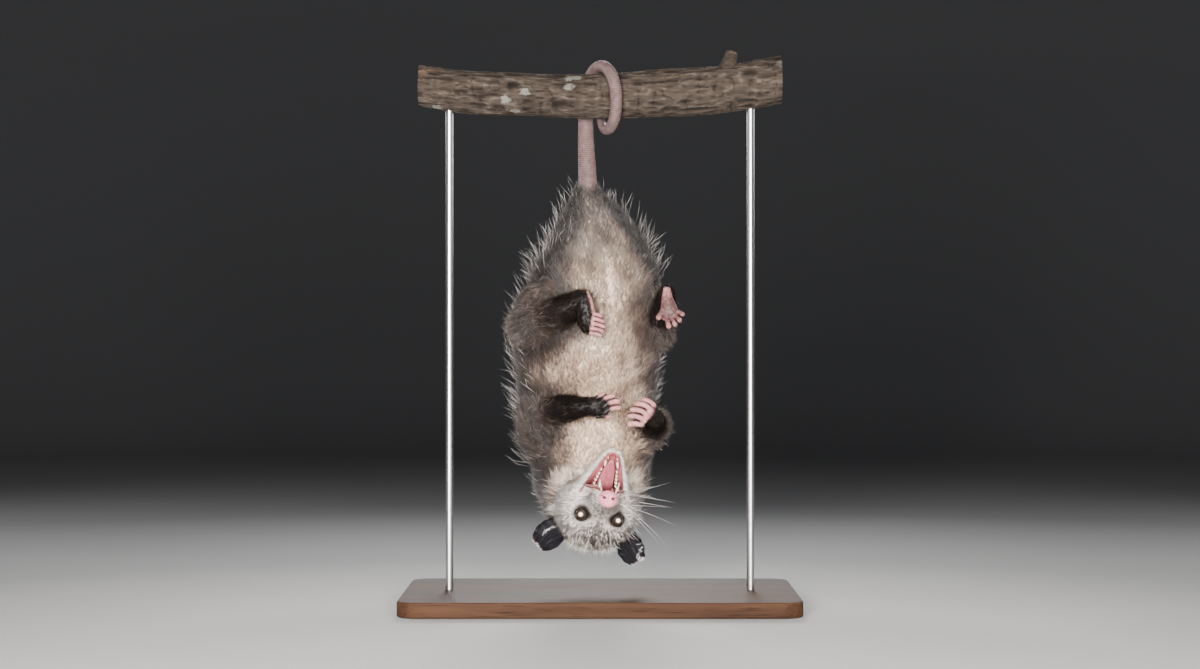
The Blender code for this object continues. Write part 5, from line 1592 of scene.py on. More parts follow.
class Coat:
    """Grows patches of tufts on the body's lofts as solid meshes with their own bake map."""

    PATCH = 0.003

    def __init__(self, body: Body, markings: Markings) -> None:
        """Keeps the body and markings, and makes the hair's finish."""
        self.body, self.markings = body, markings
        self.finish = CoatFinish("coat_hair").make()
        self.dark = CoatFinish("coat_hair_dark", 0.85, 0.0, 0.05).make()
        self.triangles = 0

    def grow(self, patch: Patch, seed: int) -> Thing:
        """One piece of the coat.

        Roots are spread evenly over the surface by drawing (s, turn) pairs with a chance in proportion to
        the area there. A tuft's hairs leave it at the lift angle, bend evenly down to the lay angle and draw
        together.

        Args:
            patch: what grows where.
            seed: the seed of its random numbers.

        Returns:
            The piece.
        """
        rng = np.random.default_rng(SEED * 1000 + seed)
        loft, kind = self.body.lofts[patch.loft], patch.strand
        s, turn = self.spread(loft, patch, rng)
        point, normal, lie = self.ways(loft, s, turn, patch.backwards)
        kept = ~self.body.buried(point, (patch.loft, *patch.own))
        if patch.keep is not None:
            kept &= patch.keep(point, s, turn) > rng.uniform(0, 1, len(s))
        point, normal, lie, s, turn = (a[kept] for a in (point, normal, lie, s, turn))
        scale = np.ones(len(s)) if patch.scale is None else patch.scale(point, s, turn)
        swing = np.radians(kind.loose) * rng.normal(0, 1, len(s)) + kind.swirl * noise(point, 26 * MM, 11)
        lie = lie * np.cos(swing)[:, None] + np.cross(normal, lie) * np.sin(swing)[:, None]
        tone, warm = self.markings.read(point, patch.loft)
        tone = np.clip(tone * rng.uniform(1 - kind.varied, 1 + kind.varied, len(tone)), 0.01, 1)
        spans = ((s, patch.s_range), (turn, patch.turns()))
        corner = np.stack([(a - low) / (high - low) for a, (low, high) in spans], -1)
        corner = corner * (1 - 1.5 * self.PATCH)
        return self.mesh(patch, rng, (point, normal, lie), scale, (tone, warm), corner)

    @staticmethod
    def spread(loft: Loft, patch: Patch, rng: np.random.Generator) -> tuple[Array, Array]:
        """Even random shares and turns over a patch of a loft.

        Args:
            loft: the form.
            patch: its part.
            rng: the random numbers.

        Returns:
            Shares and turns.
        """
        columns = 72
        s_edge, t_edge = np.linspace(*patch.s_range, 61), np.linspace(*patch.turns(), columns + 1)
        grid = loft.surface(*np.meshgrid(s_edge, t_edge, indexing="ij"))
        one, two = grid[1:, :-1] - grid[:-1, :-1], grid[:-1, 1:] - grid[:-1, :-1]
        areas = norm(np.cross(one, two)).ravel()
        count = int(areas.sum() * 1e4 * patch.strand.dense)
        chosen = rng.choice(len(areas), count, p=areas / areas.sum())
        s = s_edge[chosen // columns] + rng.uniform(0, 1, count) * (s_edge[1] - s_edge[0])
        return s, t_edge[chosen % columns] + rng.uniform(0, 1, count) * (t_edge[1] - t_edge[0])

    @staticmethod
    def ways(loft: Loft, s: Array, turn: Array, backwards: bool) -> tuple[Array, Array, Array]:
        """Places on the skin, the way out of it and the lie of the coat, by differences of the surface.

        Args:
            loft: the form.
            s: shares.
            turn: turns.
            backwards: whether the lie runs against its length.

        Returns:
            The three, one row each.
        """
        ds, dt = 2e-3, 2e-2
        point = loft.surface(s, turn)
        forward = loft.surface(np.clip(s + ds, 0, 1), turn) - loft.surface(np.clip(s - ds, 0, 1), turn)
        normal = unit(np.cross(forward, loft.surface(s, turn + dt) - loft.surface(s, turn - dt)))
        normal *= np.where((normal * (point - loft.read(s)[0])).sum(-1) < 0, -1.0, 1.0)[:, None]
        lie = unit(forward) * (-1 if backwards else 1)
        return point, normal, unit(lie - normal * (lie * normal).sum(-1, keepdims=True))

    def mesh(
        self,
        patch: Patch,
        rng: np.random.Generator,
        ways: tuple[Array, Array, Array],
        scale: Array,
        colour: tuple[Array, Array],
        corner: Array,
    ) -> Thing:
        """Turns tufts into closed three-sided bent spikes with a bake map.

        Args:
            patch: what grows.
            rng: the random numbers.
            ways: the tufts' roots, the ways out and the ways along.
            scale: each tuft's share of the length.
            colour: its tone and warmth.
            corner: its corner of the bake map.

        Returns:
            The piece.
        """
        kind, hairs, rings = patch.strand, patch.strand.hairs, patch.strand.rings
        point, normal, lie = (way[:, None] for way in ways)
        side = np.cross(normal, lie)
        crowd = (len(point), hairs)
        shift = rng.normal(0, kind.scatter * MM * 0.6, (*crowd, 2))
        roots = point + shift[..., :1] * side + shift[..., 1:] * lie
        length = kind.length * MM * scale[:, None] * rng.uniform(0.78, 1.18, crowd)
        stray = 0.20 if kind.layer is Layer.GUARD else 0.08
        lift = np.radians(kind.lift) * rng.uniform(0.8, 1.2, (len(point), 1)) + rng.normal(0, stray, crowd)
        lay = np.radians(kind.lay) * rng.uniform(0.6, 1.4, (len(point), 1)) + rng.normal(0, stray, crowd)
        pull = -kind.clump * shift[..., 0] / np.maximum(length, 1e-4)
        pull = pull + rng.normal(0, stray, crowd) * (kind.layer is Layer.GUARD)
        rows, runs = [roots - normal * (0.3 * MM + 0.05 * length)[..., None]], []
        for k in range(rings):
            share = k / max(rings - 1, 1)
            angle = lift * (1 - share) + lay * share
            bend = pull + rng.normal(0, 0.05, crowd) * share
            run = np.sin(angle)[..., None] * normal + np.cos(angle)[..., None] * lie + bend[..., None] * side
            runs.append(unit(run))
            rows.append(rows[-1] + runs[-1] * (length / rings)[..., None])
        width = kind.width * MM * np.sqrt(scale)[:, None] * rng.uniform(0.75, 1.2, crowd)
        taper = (0.8, 1.0, 0.62) if rings > 2 else (0.9, 0.85)
        stride = 3 * rings + 1
        verts = np.empty((len(point) * hairs, stride, 3))
        for k in range(rings):
            across = unit(np.cross(runs[k], normal))
            up = np.cross(across, runs[k])
            for c, turn in enumerate(math.radians(v) for v in (90, 210, 330)):
                out = math.cos(turn) * across * 0.5 + math.sin(turn) * up * 0.26
                verts[:, 3 * k + c] = (rows[k] + out * (width * taper[k])[..., None]).reshape(-1, 3)
        verts[:, -1] = rows[-1].reshape(-1, 3)
        level = np.append(np.repeat(np.arange(rings), 3) / rings, 1.0)
        faces, uvs = self.template(rings)
        offset = (np.arange(len(verts)) * stride)[:, None, None]
        all_faces = np.where(faces[None] >= 0, faces[None] + offset, -1).reshape(-1, 4)
        tone, warm = (np.repeat(np.repeat(number, hairs)[:, None], stride, 1) for number in colour)
        tone = tone * (kind.root + (kind.tip - kind.root) * level)[None]
        tone = tone + kind.lighter * smoothstep(0.25, 0.9, level)
        warm = warm * (1 - 0.75 * min(kind.lighter, 1) * level[None])
        values = {"tone": np.clip(tone, 0, 1), "warm": np.clip(warm, 0, 1)}
        finish = self.dark if patch.slot is Slot.FUR_DARK else self.finish
        obj = make_object(patch.name, (verts.reshape(-1, 3), all_faces), finish, patch.slot, values)
        at = np.repeat(corner, hairs, axis=0)[:, None] + self.PATCH * uvs[(faces >= 0).ravel()][None]
        layer = obj.data.uv_layers.new(name="OFBake")
        layer.data.foreach_set("uv", at.astype(np.float32).ravel())
        self.triangles += len(verts) * (6 * (rings - 1) + 4)
        return obj

    @staticmethod
    def template(rings: int) -> tuple[Array, Array]:
        """One spike's faces, and each corner's place across and along the tuft's part of the bake map.

        Args:
            rings: how many rings it has below its tip.

        Returns:
            The faces and the map's places.
        """
        faces, uvs = [(2, 1, 0, -1)], [((0.05, 0.0), (0.5, 0.12), (0.95, 0.0), (0, 0))]
        for k in range(rings):
            low, high = k / rings, (k + 1) / rings
            for c in range(3):
                a, b = 3 * k + c, 3 * k + (c + 1) % 3
                last = k == rings - 1
                faces.append((a, b, 3 * rings, -1) if last else (a, b, b + 3, a + 3))
                top = ((0.5, 1.0), (0, 0)) if last else ((0.95, high), (0.05, high))
                uvs.append(((0.05, low), (0.95, low), *top))
        return np.array(faces), np.array(uvs).reshape(-1, 2)


def round_side(turn: Array) -> Array:
    """How far round a turn is from the belly's middle: 0 there, 1 at the back."""
    return 1 - np.abs((turn / math.pi) % 2 - 1)


def belly_keep(p: Array, s: Array, turn: Array) -> Array:
    """Thinner on the belly's bare strip, fading out where the flank's coat begins."""
    return (1 - 0.80 * Skin.bare_strip(p)) * (1 - smoothstep(0.30, 0.43, round_side(turn)))


def flank_keep(p: Array, s: Array, turn: Array) -> Array:
    """Fades in at the belly's edge."""
    return smoothstep(0.25, 0.38, round_side(turn))


def shorter(p: Array, s: Array, long: Array, tail: float, right: float) -> Array:
    """Shares of the length, cut at the tail's root and on the lower right side.

    Args:
        p: (n, 3) places.
        s: their shares of the torso's length.
        long: the shares of the hair's length.
        tail: how much is cut at the tail's root.
        right: how much is cut on the lower right side.

    Returns:
        The shares that are left.
    """
    lower_right = smoothstep(0.03, 0.06, p[:, 0]) * (1 - smoothstep(0.29, 0.35, p[:, 2]))
    return long * (1 - tail * smoothstep(0.86, 1.0, s)) * (1 - right * lower_right)


def flank_length(p: Array, s: Array, turn: Array) -> Array:
    """Short at the belly's edge, shorter towards the tail's root and on the lower right side."""
    return shorter(p, s, 0.50 + 0.50 * smoothstep(0.26, 0.44, round_side(turn)), 0.35, 0.40)


def guard_length(p: Array, s: Array, turn: Array) -> Array:
    """Long on the back and sides, short towards the belly, the tail's root and on the lower right side."""
    return shorter(p, s, 0.45 + 0.55 * smoothstep(0.24, 0.42, round_side(turn)), 0.30, 0.50)


def belly_length(p: Array, s: Array, turn: Array) -> Array:
    """Short in the middle of the belly, longer to the sides."""
    side = np.abs(np.sin(turn))
    return 0.75 + 0.45 * side * side - 0.45 * Skin.bare_strip(p)


def guard_keep(p: Array, s: Array, turn: Array) -> Array:
    """Sparse towards the belly."""
    return 0.25 + 0.75 * smoothstep(0.24, 0.40, round_side(turn))


def head_keep(p: Array, s: Array, turn: Array) -> Array:
    """No hair on the eyes, the nose, the lips and the palate."""
    kept = np.ones(len(p))
    for sign in (-1, 1):
        kept *= smoothstep(0.0064, 0.0074, norm(p - eye_middle(sign) - eye_way(sign) * 2 * MM))
    mouth = (from_head(p)[0] > MOUTH_CORNER - 3 * MM) & (np.cos(turn) < -0.40)
    return kept * ~mouth * (norm(p - on_head(NOSE_PLACE[0], 0, NOSE_PLACE[1])) >= 9.2 * MM)


def head_length(p: Array, s: Array, turn: Array) -> Array:
    """Very short on the muzzle and round the eyes, long on the cheeks and crown."""
    length = 0.55 + 0.95 * (1 - smoothstep(0.006, 0.048, from_head(p)[0]))
    for sign in (-1, 1):
        length *= 0.55 + 0.45 * smoothstep(0.008, 0.020, norm(p - eye_middle(sign)))
    return length


def crown_keep(p: Array, s: Array, turn: Array) -> Array:
    """Only behind the eyes and clear of the ears."""
    place = from_head(p)[0]
    kept = (1 - smoothstep(0.008, 0.019, place)) * smoothstep(-0.030, -0.020, place)
    for sign in (-1, 1):
        kept = kept * smoothstep(0.008, 0.016, norm(p - on_head(-4 * MM, sign * 31 * MM, 20 * MM)))
    return kept


def crest_keep(p: Array, s: Array, turn: Array) -> Array:
    """Along the crown's ridge, clear of the ears."""
    return crown_keep(p, s, turn) * (1 - smoothstep(-0.002, 0.010, from_head(p)[0]))


def ruff_keep(p: Array, s: Array, turn: Array) -> Array:
    """Only on the back of the cheeks and under the jaw's corners."""
    place = from_head(p)[0]
    return (1 - smoothstep(0.000, 0.020, place)) * smoothstep(-0.045, -0.030, place)


def chin_keep(p: Array, s: Array, turn: Array) -> Array:
    """Only the outside of the jaw, below the lip."""
    return (np.cos(turn) < -0.02).astype(float)


def chin_length(p: Array, s: Array, turn: Array) -> Array:
    """Shorter towards the chin's tip."""
    return 0.55 + 0.85 * (1 - s)


def nape_length(p: Array, s: Array, turn: Array) -> Array:
    """Shorter than the back's, shortest beside the throat."""
    return 0.45 + 0.30 * smoothstep(0.34, 0.6, round_side(turn))


def wrist_length(p: Array, s: Array, turn: Array) -> Array:
    """Shorter towards the paw."""
    return 1 - 0.45 * smoothstep(0.45, 0.95, s)


def knee_keep(p: Array, s: Array, turn: Array) -> Array:
    """Only the half away from the paw."""
    return 1 - smoothstep(0.30, 0.65, s)


def paw_rule(name: str, p: Array, s: Array, turn: Array) -> Array:
    """Only where that paw is furred."""
    return paw_fur(p, name)


DENSE, GUARD, SHORT = Layer.DENSE, Layer.GUARD, Layer.SHORT
WOOLLY = Strand(DENSE, 29, 12.5, 0.52, 26, 26, 22, 5, 1, 1.0, 0.7, 0.50, 1.2, varied=0.34)
FLANK = Strand(DENSE, 15, 20, 0.60, 36, 16, 14, 5, 2, 1.8, 0.7, 0.5, 1.2, varied=0.42)
GUARDS = Strand(GUARD, 1.0, 34, 0.56, 50, 36, 16, 2, 3, 6.0, 0.0, 0.4, 1.0, 0.95)
SILVER = Strand(GUARD, 2.2, 19, 0.34, 38, 18, 26, 2, 3, 4.0, 0.0, 0.5, 1.0, 0.55)
CREST = Strand(GUARD, 9.0, 20, 0.38, 66, 52, 8, 3, 2, 3.0, 0.0, 1.0, 1.0, 0.10)
THROAT = Strand(DENSE, 21, 15, 0.58, 32, 12, 14, 5, 2, 1.6, 0.5, 0.8, 1.1, varied=0.24)
RUFF = Strand(DENSE, 18, 15, 0.42, 30, 12, 12, 5, 2, 2.0, 0.3, 0.60, 0.98, varied=0.34, swirl=0.25)
# CROWN and FACE: their slightly darker roots are painted shade down among the white hairs.
CROWN = Strand(DENSE, 28, 14, 0.29, 30, 22, 7, 5, 2, 1.2, 0.15, 0.92, 1.06, varied=0.32, swirl=0.12)
FACE = Strand(SHORT, 60, 8.2, 0.38, 15, 15, 8, 5, 1, 0.6, 0.4, 0.92, 1.18, varied=0.32, swirl=0.2)
CHIN = Strand(SHORT, 40, 12.5, 0.38, 46, 24, 10, 5, 2, 1.3, 0.4, 0.95, 1.02)
ARM = Strand(DENSE, 40, 11.0, 0.34, 27, 27, 14, 5, 1, 1.6, 0.3, 0.6, 2.0, 0.012, 0.5)
THIGH = Strand(DENSE, 19, 17, 0.60, 34, 14, 18, 5, 2, 2.0, 0.5, 0.5, 1.35, varied=0.35)
PAW = Strand(SHORT, 66, 4.6, 0.30, 20, 20, 14, 5, 1, 1.0, 0.2, 0.6, 1.6, 0.012, 0.5)


def trunk_patches() -> Iterator[Patch]:
    """The coat of the torso and neck."""
    fronts = (("belly_left", 0.0, 0.43), ("belly_right", -0.43, 0.0))
    sides = (
        ("left", 0.25, 0.72), ("back_left", 0.72, 1.0), ("back_right", 1.0, 1.28), ("right", 1.28, 1.75),
    )
    for word, span in (("low", (0.0, 0.5)), ("high", (0.5, 1.0))):
        for rows, kind, keep, scale in (
            (fronts, WOOLLY, belly_keep, belly_length),
            (sides, FLANK, flank_keep, flank_length),
        ):
            for side, *turns in rows:
                yield Patch(f"coat_{side}_{word}", "torso", span, turns, kind, keep=keep, scale=scale)
    for side, *turns in (("left", 0.24, 1.0), ("right", 1.0, 1.76)):
        name = f"guard_{side}"
        yield Patch(name, "torso", (0.02, 0.99), turns, GUARDS, keep=guard_keep, scale=guard_length)
    for name, end, turns, kind, scale in (
        ("coat_throat", 1.0, (-0.42, 0.42), THROAT, None),
        ("coat_neck_left", 1.0, (0.40, 1.0), FLANK, None),
        ("coat_neck_right", 1.0, (1.0, 1.60), FLANK, None),
        ("guard_neck", 0.95, (0.34, 1.66), GUARDS, nape_length),
    ):
        yield Patch(name, "neck", (0.0, end), turns, kind, scale=scale, own=("torso",), backwards=True)


def head_patches() -> Iterator[Patch]:
    """The coat of the head and lower jaw."""
    white = dict(slot=Slot.FUR_WHITE, backwards=True)
    upper = (("left", -0.02, 0.5), ("right", -0.5, 0.02))
    under = (("under_left", 0.5, 1.0), ("under_right", 1.0, 1.5))
    for side, *turns in (*upper, *under):
        name = f"coat_head_{side}"
        yield Patch(name, "head", (0.0, 1.0), turns, FACE, keep=head_keep, scale=head_length, **white)
    yield Patch("guard_crown", "head", (0.08, 0.6), (-0.5, 0.5), CREST, keep=crest_keep, **white)
    yield Patch("coat_crown", "head", (0.0, 0.8), (-0.62, 0.62), CROWN, keep=crown_keep, **white)
    ruff = dict(keep=ruff_keep, own=("neck", "torso"))
    chin = dict(keep=chin_keep, scale=chin_length, own=("neck",))
    yield Patch("coat_ruff", "head", (0.0, 0.7), (0.40, 1.60), RUFF, **ruff, **white)
    yield Patch("coat_chin", "lower_jaw", (0.12, 0.99), (0.4, 1.6), CHIN, **chin, **white)


def limb_patches() -> Iterator[Patch]:
    """The coat of the limbs and paws."""
    whole, dark = (0, 2), Slot.FUR_DARK
    for side in ("left", "right"):
        for parts in (("thigh", "shin", "foot"), ("upper_arm", "forearm", "hand")):
            high, low, end = (f"{part}_{side}" for part in parts)
            keep = functools.partial(paw_rule, end)
            yield Patch(f"coat_{high}", high, (0.0, 1.0), whole, THIGH, own=(low,))
            yield Patch(f"coat_{low}", low, (0.0, 0.97), whole, ARM, dark, scale=wrist_length, own=(high,))
            yield Patch(f"guard_{high}", high, (0.0, 1.0), whole, SILVER, own=(low,))
            yield Patch(f"guard_{low}", low, (0.0, 0.7), whole, SILVER, keep=knee_keep, own=(high,))
            yield Patch(f"coat_{end}", end, (0.02, 1.0), whole, PAW, dark, keep=keep, own=(low,))


# Head pieces


# Rows of reach over the lid and height in mm
LID_PROFILE = (
    (0, 0.0, 0.1), (0.15, -0.02, 0.55), (0.35, 0.08, 1.15), (0.6, 0.35, 1.0), (0.8, 0.7, 0.2),
    (1, 0.95, -1.2),
)
# Rows of share of the half width and height over the depth
GUM_PROFILE = (
    (0, -0.42), (0.3, -0.36), (0.45, -0.2), (0.6, 0.10), (0.74, 0.0), (0.9, 0.13), (0.98, 0.05),
    (1.0, -0.04),
)
# Rows of place, half width and thickness in mm
TONGUE_ROWS = ((-8, 7, 4.2), (4, 8.4, 5.6), (20, 7.4, 5.2), (34, 5.4, 4.2), (43, 2.6, 2.6), (45.5, 0.9, 1.6))
# Rows of place, height and radius in mm
TEETH_UPPER = (
    (42, 2.6, 1.4), (47, 3.2, 1.6), (52, 3.4, 1.6), (58, 3.8, 1.4), (64, 3.4, 1.2), (74.0, 10.0, 1.6),
    (79.0, 2.8, 0.8),
)
TEETH_LOWER = (
    (10, 2.4, 1.4), (15, 2.8, 1.6), (20, 2.9, 1.5), (25.5, 3.2, 1.3), (31.5, 2.8, 1.1), (43.5, 7.5, 1.6),
    (49.5, 2.2, 0.8),
)
TOOTH_PROFILE = (0.86, 1.0, 0.97, 0.84, 0.64, 0.40, 0.08)
WHISKER_PROFILE = (1.0, 0.9, 0.75, 0.62, 0.5, 0.38, 0.24, 0.08)


def towards(polar: Array, turn: Array, way: Array, across: Array) -> Array:
    """Directions at polar angles from a way, turned round it from across."""
    up = np.cross(across, way)
    out = np.cos(polar)[..., None] * way + (np.sin(polar) * np.cos(turn))[..., None] * across
    return out + (np.sin(polar) * np.sin(turn))[..., None] * up


@dataclass
class Face:
    """Eyes, lids, nose, ears, mouth, teeth, tongue and whiskers."""

    eye_radius: float = EYE_RADIUS
    ear_length: float = 38 * MM
    ear_width: float = 32 * MM
    ear_cup: float = 8.5 * MM
    ear_thickness: float = 1.1 * MM
    ear_base: tuple[float, float, float] = (-4 * MM, 31 * MM, 18 * MM)
    ear_splay: float = math.radians(36)

    def eye(self, side: int, word: str, finish: Material) -> Thing:
        """A ball with a slight cornea: the radius grows by 5% towards the way it looks.

        Args:
            side: 1 left, -1 right.
            word: its name's last word.
            finish: its material.

        Returns:
            The eye.
        """
        middle, way = eye_middle(side), eye_way(side)
        lift, turn = rounds(np.linspace(0.02, np.pi - 0.02, 40), 48)
        local = towards(lift, turn, way, unit(np.cross(way, UP)))
        radius = self.eye_radius * (1 + 0.05 * hill(lift, 0.7))
        points, faces = closed_tube(middle + local * radius[..., None])
        # The painted eyeshine is centred on this way, turned towards -Y where the camera stands; the angle
        # from it places the eye's painted pale glowing disc.
        shine = unit(0.35 * way + np.array((0.0, -1.0, 0.06)))
        angle = np.arccos(np.clip(unit(points - middle) @ shine, -1, 1)) / (0.5 * np.pi)
        return make_object("eye_" + word, (points, faces), finish, Slot.EYE, {"angle": angle})

    def lids(self, side: int, word: str, finish: Material) -> Thing:
        """The lids' dark rim: a rounded ring round an almond opening on the eye's ball.

        At a turn a the opening's polar angle is 62 degrees * |cos a|^2 + 51 degrees * |sin a|^2; the section
        is a rounded ridge from inside the opening out to 108 degrees, where it runs under the coat.

        Args:
            side: 1 left, -1 right.
            word: its name's last word.
            finish: its material.

        Returns:
            The lids.
        """
        way = eye_way(side)
        level = unit(LEFT * side * 0.9 + AHEAD * -0.45)
        step, turn = rounds(np.linspace(0, 1, 16), 56)
        opening = np.radians(62) * np.cos(turn) ** 2 + np.radians(51) * np.sin(turn) ** 2
        reach, lift = columns_of(LID_PROFILE, step)
        polar = opening + (np.radians(108) - opening) * np.clip(reach, -0.02, 1)
        local = towards(polar, turn, way, unit(level - way * np.dot(level, way)))
        outer = eye_middle(side) + local * (self.eye_radius * 1.03 + lift * MM)[..., None]
        inner = eye_middle(side) + local[::-1] * (self.eye_radius * 0.985 - 0.2 * MM)
        grid = np.concatenate((outer, inner))
        rows, columns = grid.shape[:2]
        first = np.arange(columns)
        last, after = (rows - 1) * columns + first, (first + 1) % columns
        seam = np.stack((last, (rows - 1) * columns + after, after, first), -1)
        surface = outward(grid.reshape(-1, 3), np.vstack((grid_faces(rows, columns, True), seam)))
        values = {"tone": np.full(rows * columns, 0.06), "warm": np.full(rows * columns, 0.4)}
        return make_object("lids_" + word, surface, finish, Slot.FUR_DARK, values)

    @staticmethod
    def nose() -> Thing:
        """The nose pad: an ellipsoid with a groove down its middle and two comma-shaped nostrils."""
        lift, turn = rounds(np.linspace(0.02, np.pi - 0.02, 90), 110)
        front = np.cos(lift)
        side, rise = np.sin(lift) * np.cos(turn) * 9.9, np.sin(lift) * np.sin(turn) * 8.7
        pit = np.zeros_like(front)
        for sign in (-1, 1):
            x, y = side - sign * 4.6, rise + 0.8
            hole = np.exp(-(((x / 1.75) ** 2 + (y / 1.35) ** 2) ** 1.5))
            slit = np.exp(-(((x - sign * 2.6) / 2.0) ** 2 + ((y + 0.9 + 0.18 * x * sign) / 0.75) ** 2))
            pit = np.maximum(pit, np.maximum(hole, 0.62 * slit)) * (front > 0)
        groove = hill(side, 0.75) * (front > 0) * smoothstep(-9, -1, -rise)
        bulge = 0.7 * np.exp(-(((np.abs(side) - 4.6) / 3.0) ** 2 + ((rise + 0.8) / 3.4) ** 2)) * (front > 0)
        ahead = np.sign(front) * np.abs(front) ** 0.8 * 7.0 + bulge - 3.4 * pit - 0.8 * groove
        place, height = NOSE_PLACE
        surface = closed_tube(on_head(place + ahead * MM, side * MM, height + rise * MM))
        # The nostrils' depth also sets the painted shade inside them.
        values = {"pit": np.concatenate((np.clip(pit * 1.2, 0, 1).ravel(), (0, 0)))}
        return make_object("nose_pad", surface, NoseFinish().make(), Slot.SKIN, values)

    def ear(self, side: int, word: str, finish: Material) -> Thing:
        """A cupped leaf, crinkled by crossing waves, closed round its rim.

        Across it the sheet sinks by cup * (1 - spread^2); its width follows a sine that narrows at the root
        and rounds off at the tip.

        Args:
            side: 1 left, -1 right.
            word: its name's last word.
            finish: its material.

        Returns:
            The ear.
        """
        base = on_head(self.ear_base[0], side * self.ear_base[1], self.ear_base[2])
        way = unit(math.cos(self.ear_splay) * UP + side * math.sin(self.ear_splay) * LEFT - 0.22 * AHEAD)
        front = unit(0.86 * AHEAD + side * 0.42 * LEFT)
        front = unit(front - way * np.dot(front, way))
        across = np.cross(way, front)
        share, spread = np.meshgrid(np.linspace(0, 1, 60), np.linspace(-1, 1, 48), indexing="ij")
        half = 0.5 * self.ear_width * (0.55 + 0.45 * np.sin(np.pi * share / 1.2))
        half = half * np.sqrt(1 - (0.94 * share) ** 5)
        hollow = self.ear_cup * (1 - spread**2) * (1 - 0.55 * share)
        folds = 0.7 * MM * np.sin(9 * share + 4 * spread) * hill(spread * 1.2) * smoothstep(0.1, 0.5, share)
        edge = 0.9 * MM * np.sin(13 * share * 2 + spread) * np.abs(spread) ** 4
        sheet = base + way * (self.ear_length * share)[..., None] + across * (half * spread)[..., None]
        sheet = sheet - front * (hollow - 5 * MM * share**2 + folds + edge)[..., None]
        out = unit(front + across * (-0.9 * spread * (1 - 0.4 * share))[..., None])
        thick = self.ear_thickness * 0.5 * (1 - 0.45 * np.maximum(spread**8, share**10))[..., None]
        rim = np.maximum(0.62 * np.abs(spread) ** 6, share**2.2)
        values = {"rim": rim, "spread": spread, "share": share}
        values = {key: np.tile(value.ravel(), 2) for key, value in values.items()}
        surface = slab(sheet + out * thick, sheet - out * thick)
        return make_object("ear_" + word + "_leaf", surface, finish, Slot.EAR, values)

    @staticmethod
    def mouth(finish: Material) -> None:
        """Palate, gums and lips of both jaws: two sheets a little proud of the skin.

        Above, the height over the lips is PALATE_RISE * (1 - (side / 0.84)^4), with ridges sin(place) in the
        middle, a gum and a rounded lip. Below it is a trough between two gum ridges.

        Args:
            finish: their material.
        """
        place, across = np.meshgrid(np.linspace(37, 80, 110) * MM, np.linspace(-1, 1, 64), indexing="ij")
        half, bottom = columns_of(HEAD_LINE, place)
        rise = PALATE_RISE * np.clip(1 - (np.abs(across) / 0.84) ** 4, 0, 1)
        ridge = 0.5 * MM * np.sin(place / MM * 1.9 + 2.2 * across**2) * hill(across, 0.5)
        lip = 1.3 * MM * hill(np.abs(across) - 0.92, 0.10) * smoothstep(37 * MM, 46 * MM, place)
        gum = 1.2 * MM * hill(np.abs(across) - 0.62, 0.13)
        height = bottom + rise - 0.5 * MM - ridge - lip - gum
        low = on_head(place, across * half * 0.96, height)
        high = on_head(place, across * half * 0.90, height + 1.6 * MM)
        # Painted shade, darker towards the back of the palate.
        deep = {"deep": np.tile((1 - smoothstep(0.028, 0.052, place)).ravel(), 2)}
        make_object("mouth_upper", slab(low, high), finish, Slot.MOUTH, deep)
        place, across = np.meshgrid(np.linspace(-6, 54, 110) * MM, np.linspace(-1, 1, 64), indexing="ij")
        half, depth = columns_of(JAW_LINE, place)
        height = through(GUM_PROFILE, np.abs(across))[..., 0] * depth + 0.6 * MM
        high = on_jaw(place, across * half * 1.03, height)
        low = on_jaw(place, across * half * 0.95, height - 1.8 * MM)
        # Painted shade, darker towards the back of the lower jaw's trough.
        deep = {"deep": np.tile((1 - smoothstep(0.004, 0.026, place)).ravel(), 2)}
        make_object("mouth_lower", slab(high, low), finish, Slot.MOUTH, deep)

    @staticmethod
    def tongue(finish: Material) -> Thing:
        """The tongue: an oval loft with a groove down its middle and a raised tip.

        Args:
            finish: its material.

        Returns:
            The tongue.
        """
        place, turn = rounds(np.linspace(-8, 45.4, 70), 48)
        half, thick = columns_of(TONGUE_ROWS, place)
        side, rise = half * np.sin(turn), 0.58 * thick * np.cos(turn)
        rise = rise - 0.9 * hill(side, 1.1) * (np.cos(turn) > 0) * smoothstep(45, 30, place)
        surface = closed_tube(on_jaw(place * MM, side * MM, (0.2 + rise) * MM))
        # Painted shade, darker towards the tongue's root in the back of the mouth.
        deep = np.concatenate(((1 - smoothstep(0, 16, place)).ravel(), (1, 0)))
        return make_object("tongue_flesh", surface, finish, Slot.MOUTH, {"deep": deep})

    @staticmethod
    def teeth() -> None:
        """Two rows above and two below: incisors, a long canine and low cheek teeth on each side."""
        finish = HornFinish("tooth_ivory", (0.86, 0.82, 0.72), (0.62, 0.50, 0.34)).make()
        for name, table in (("teeth_upper", TEETH_UPPER), ("teeth_lower", TEETH_LOWER)):
            place, height, radius = (np.repeat(np.array(table), 2, axis=0) * MM).T
            sign = np.tile((-1.0, 1.0), len(table))
            if table is TEETH_UPPER:
                half, bottom = columns_of(HEAD_LINE, place)
                roots = on_head(place, sign * 0.62 * half, bottom + 2.2 * MM)
                ways = -UP + sign[:, None] * 0.12 * LEFT + 0.16 * AHEAD
                curl = -0.35 * AHEAD
            else:
                roots = on_jaw(place, sign * 0.60 * columns_of(JAW_LINE, place)[0], 0.0)
                ways = JAW_OUT + sign[:, None] * 0.10 * LEFT + 0.12 * JAW_WAY
                curl = -0.30 * JAW_WAY
            curls, high = np.tile(curl, (len(sign), 1)), height + 1.4 * MM
            surface, along = bent_cones(roots, unit(ways), curls, high, radius, TOOTH_PROFILE, 14)
            make_object(name, surface, finish, Slot.FUR_WHITE, {"along": smoothstep(0.1, 0.7, along)})

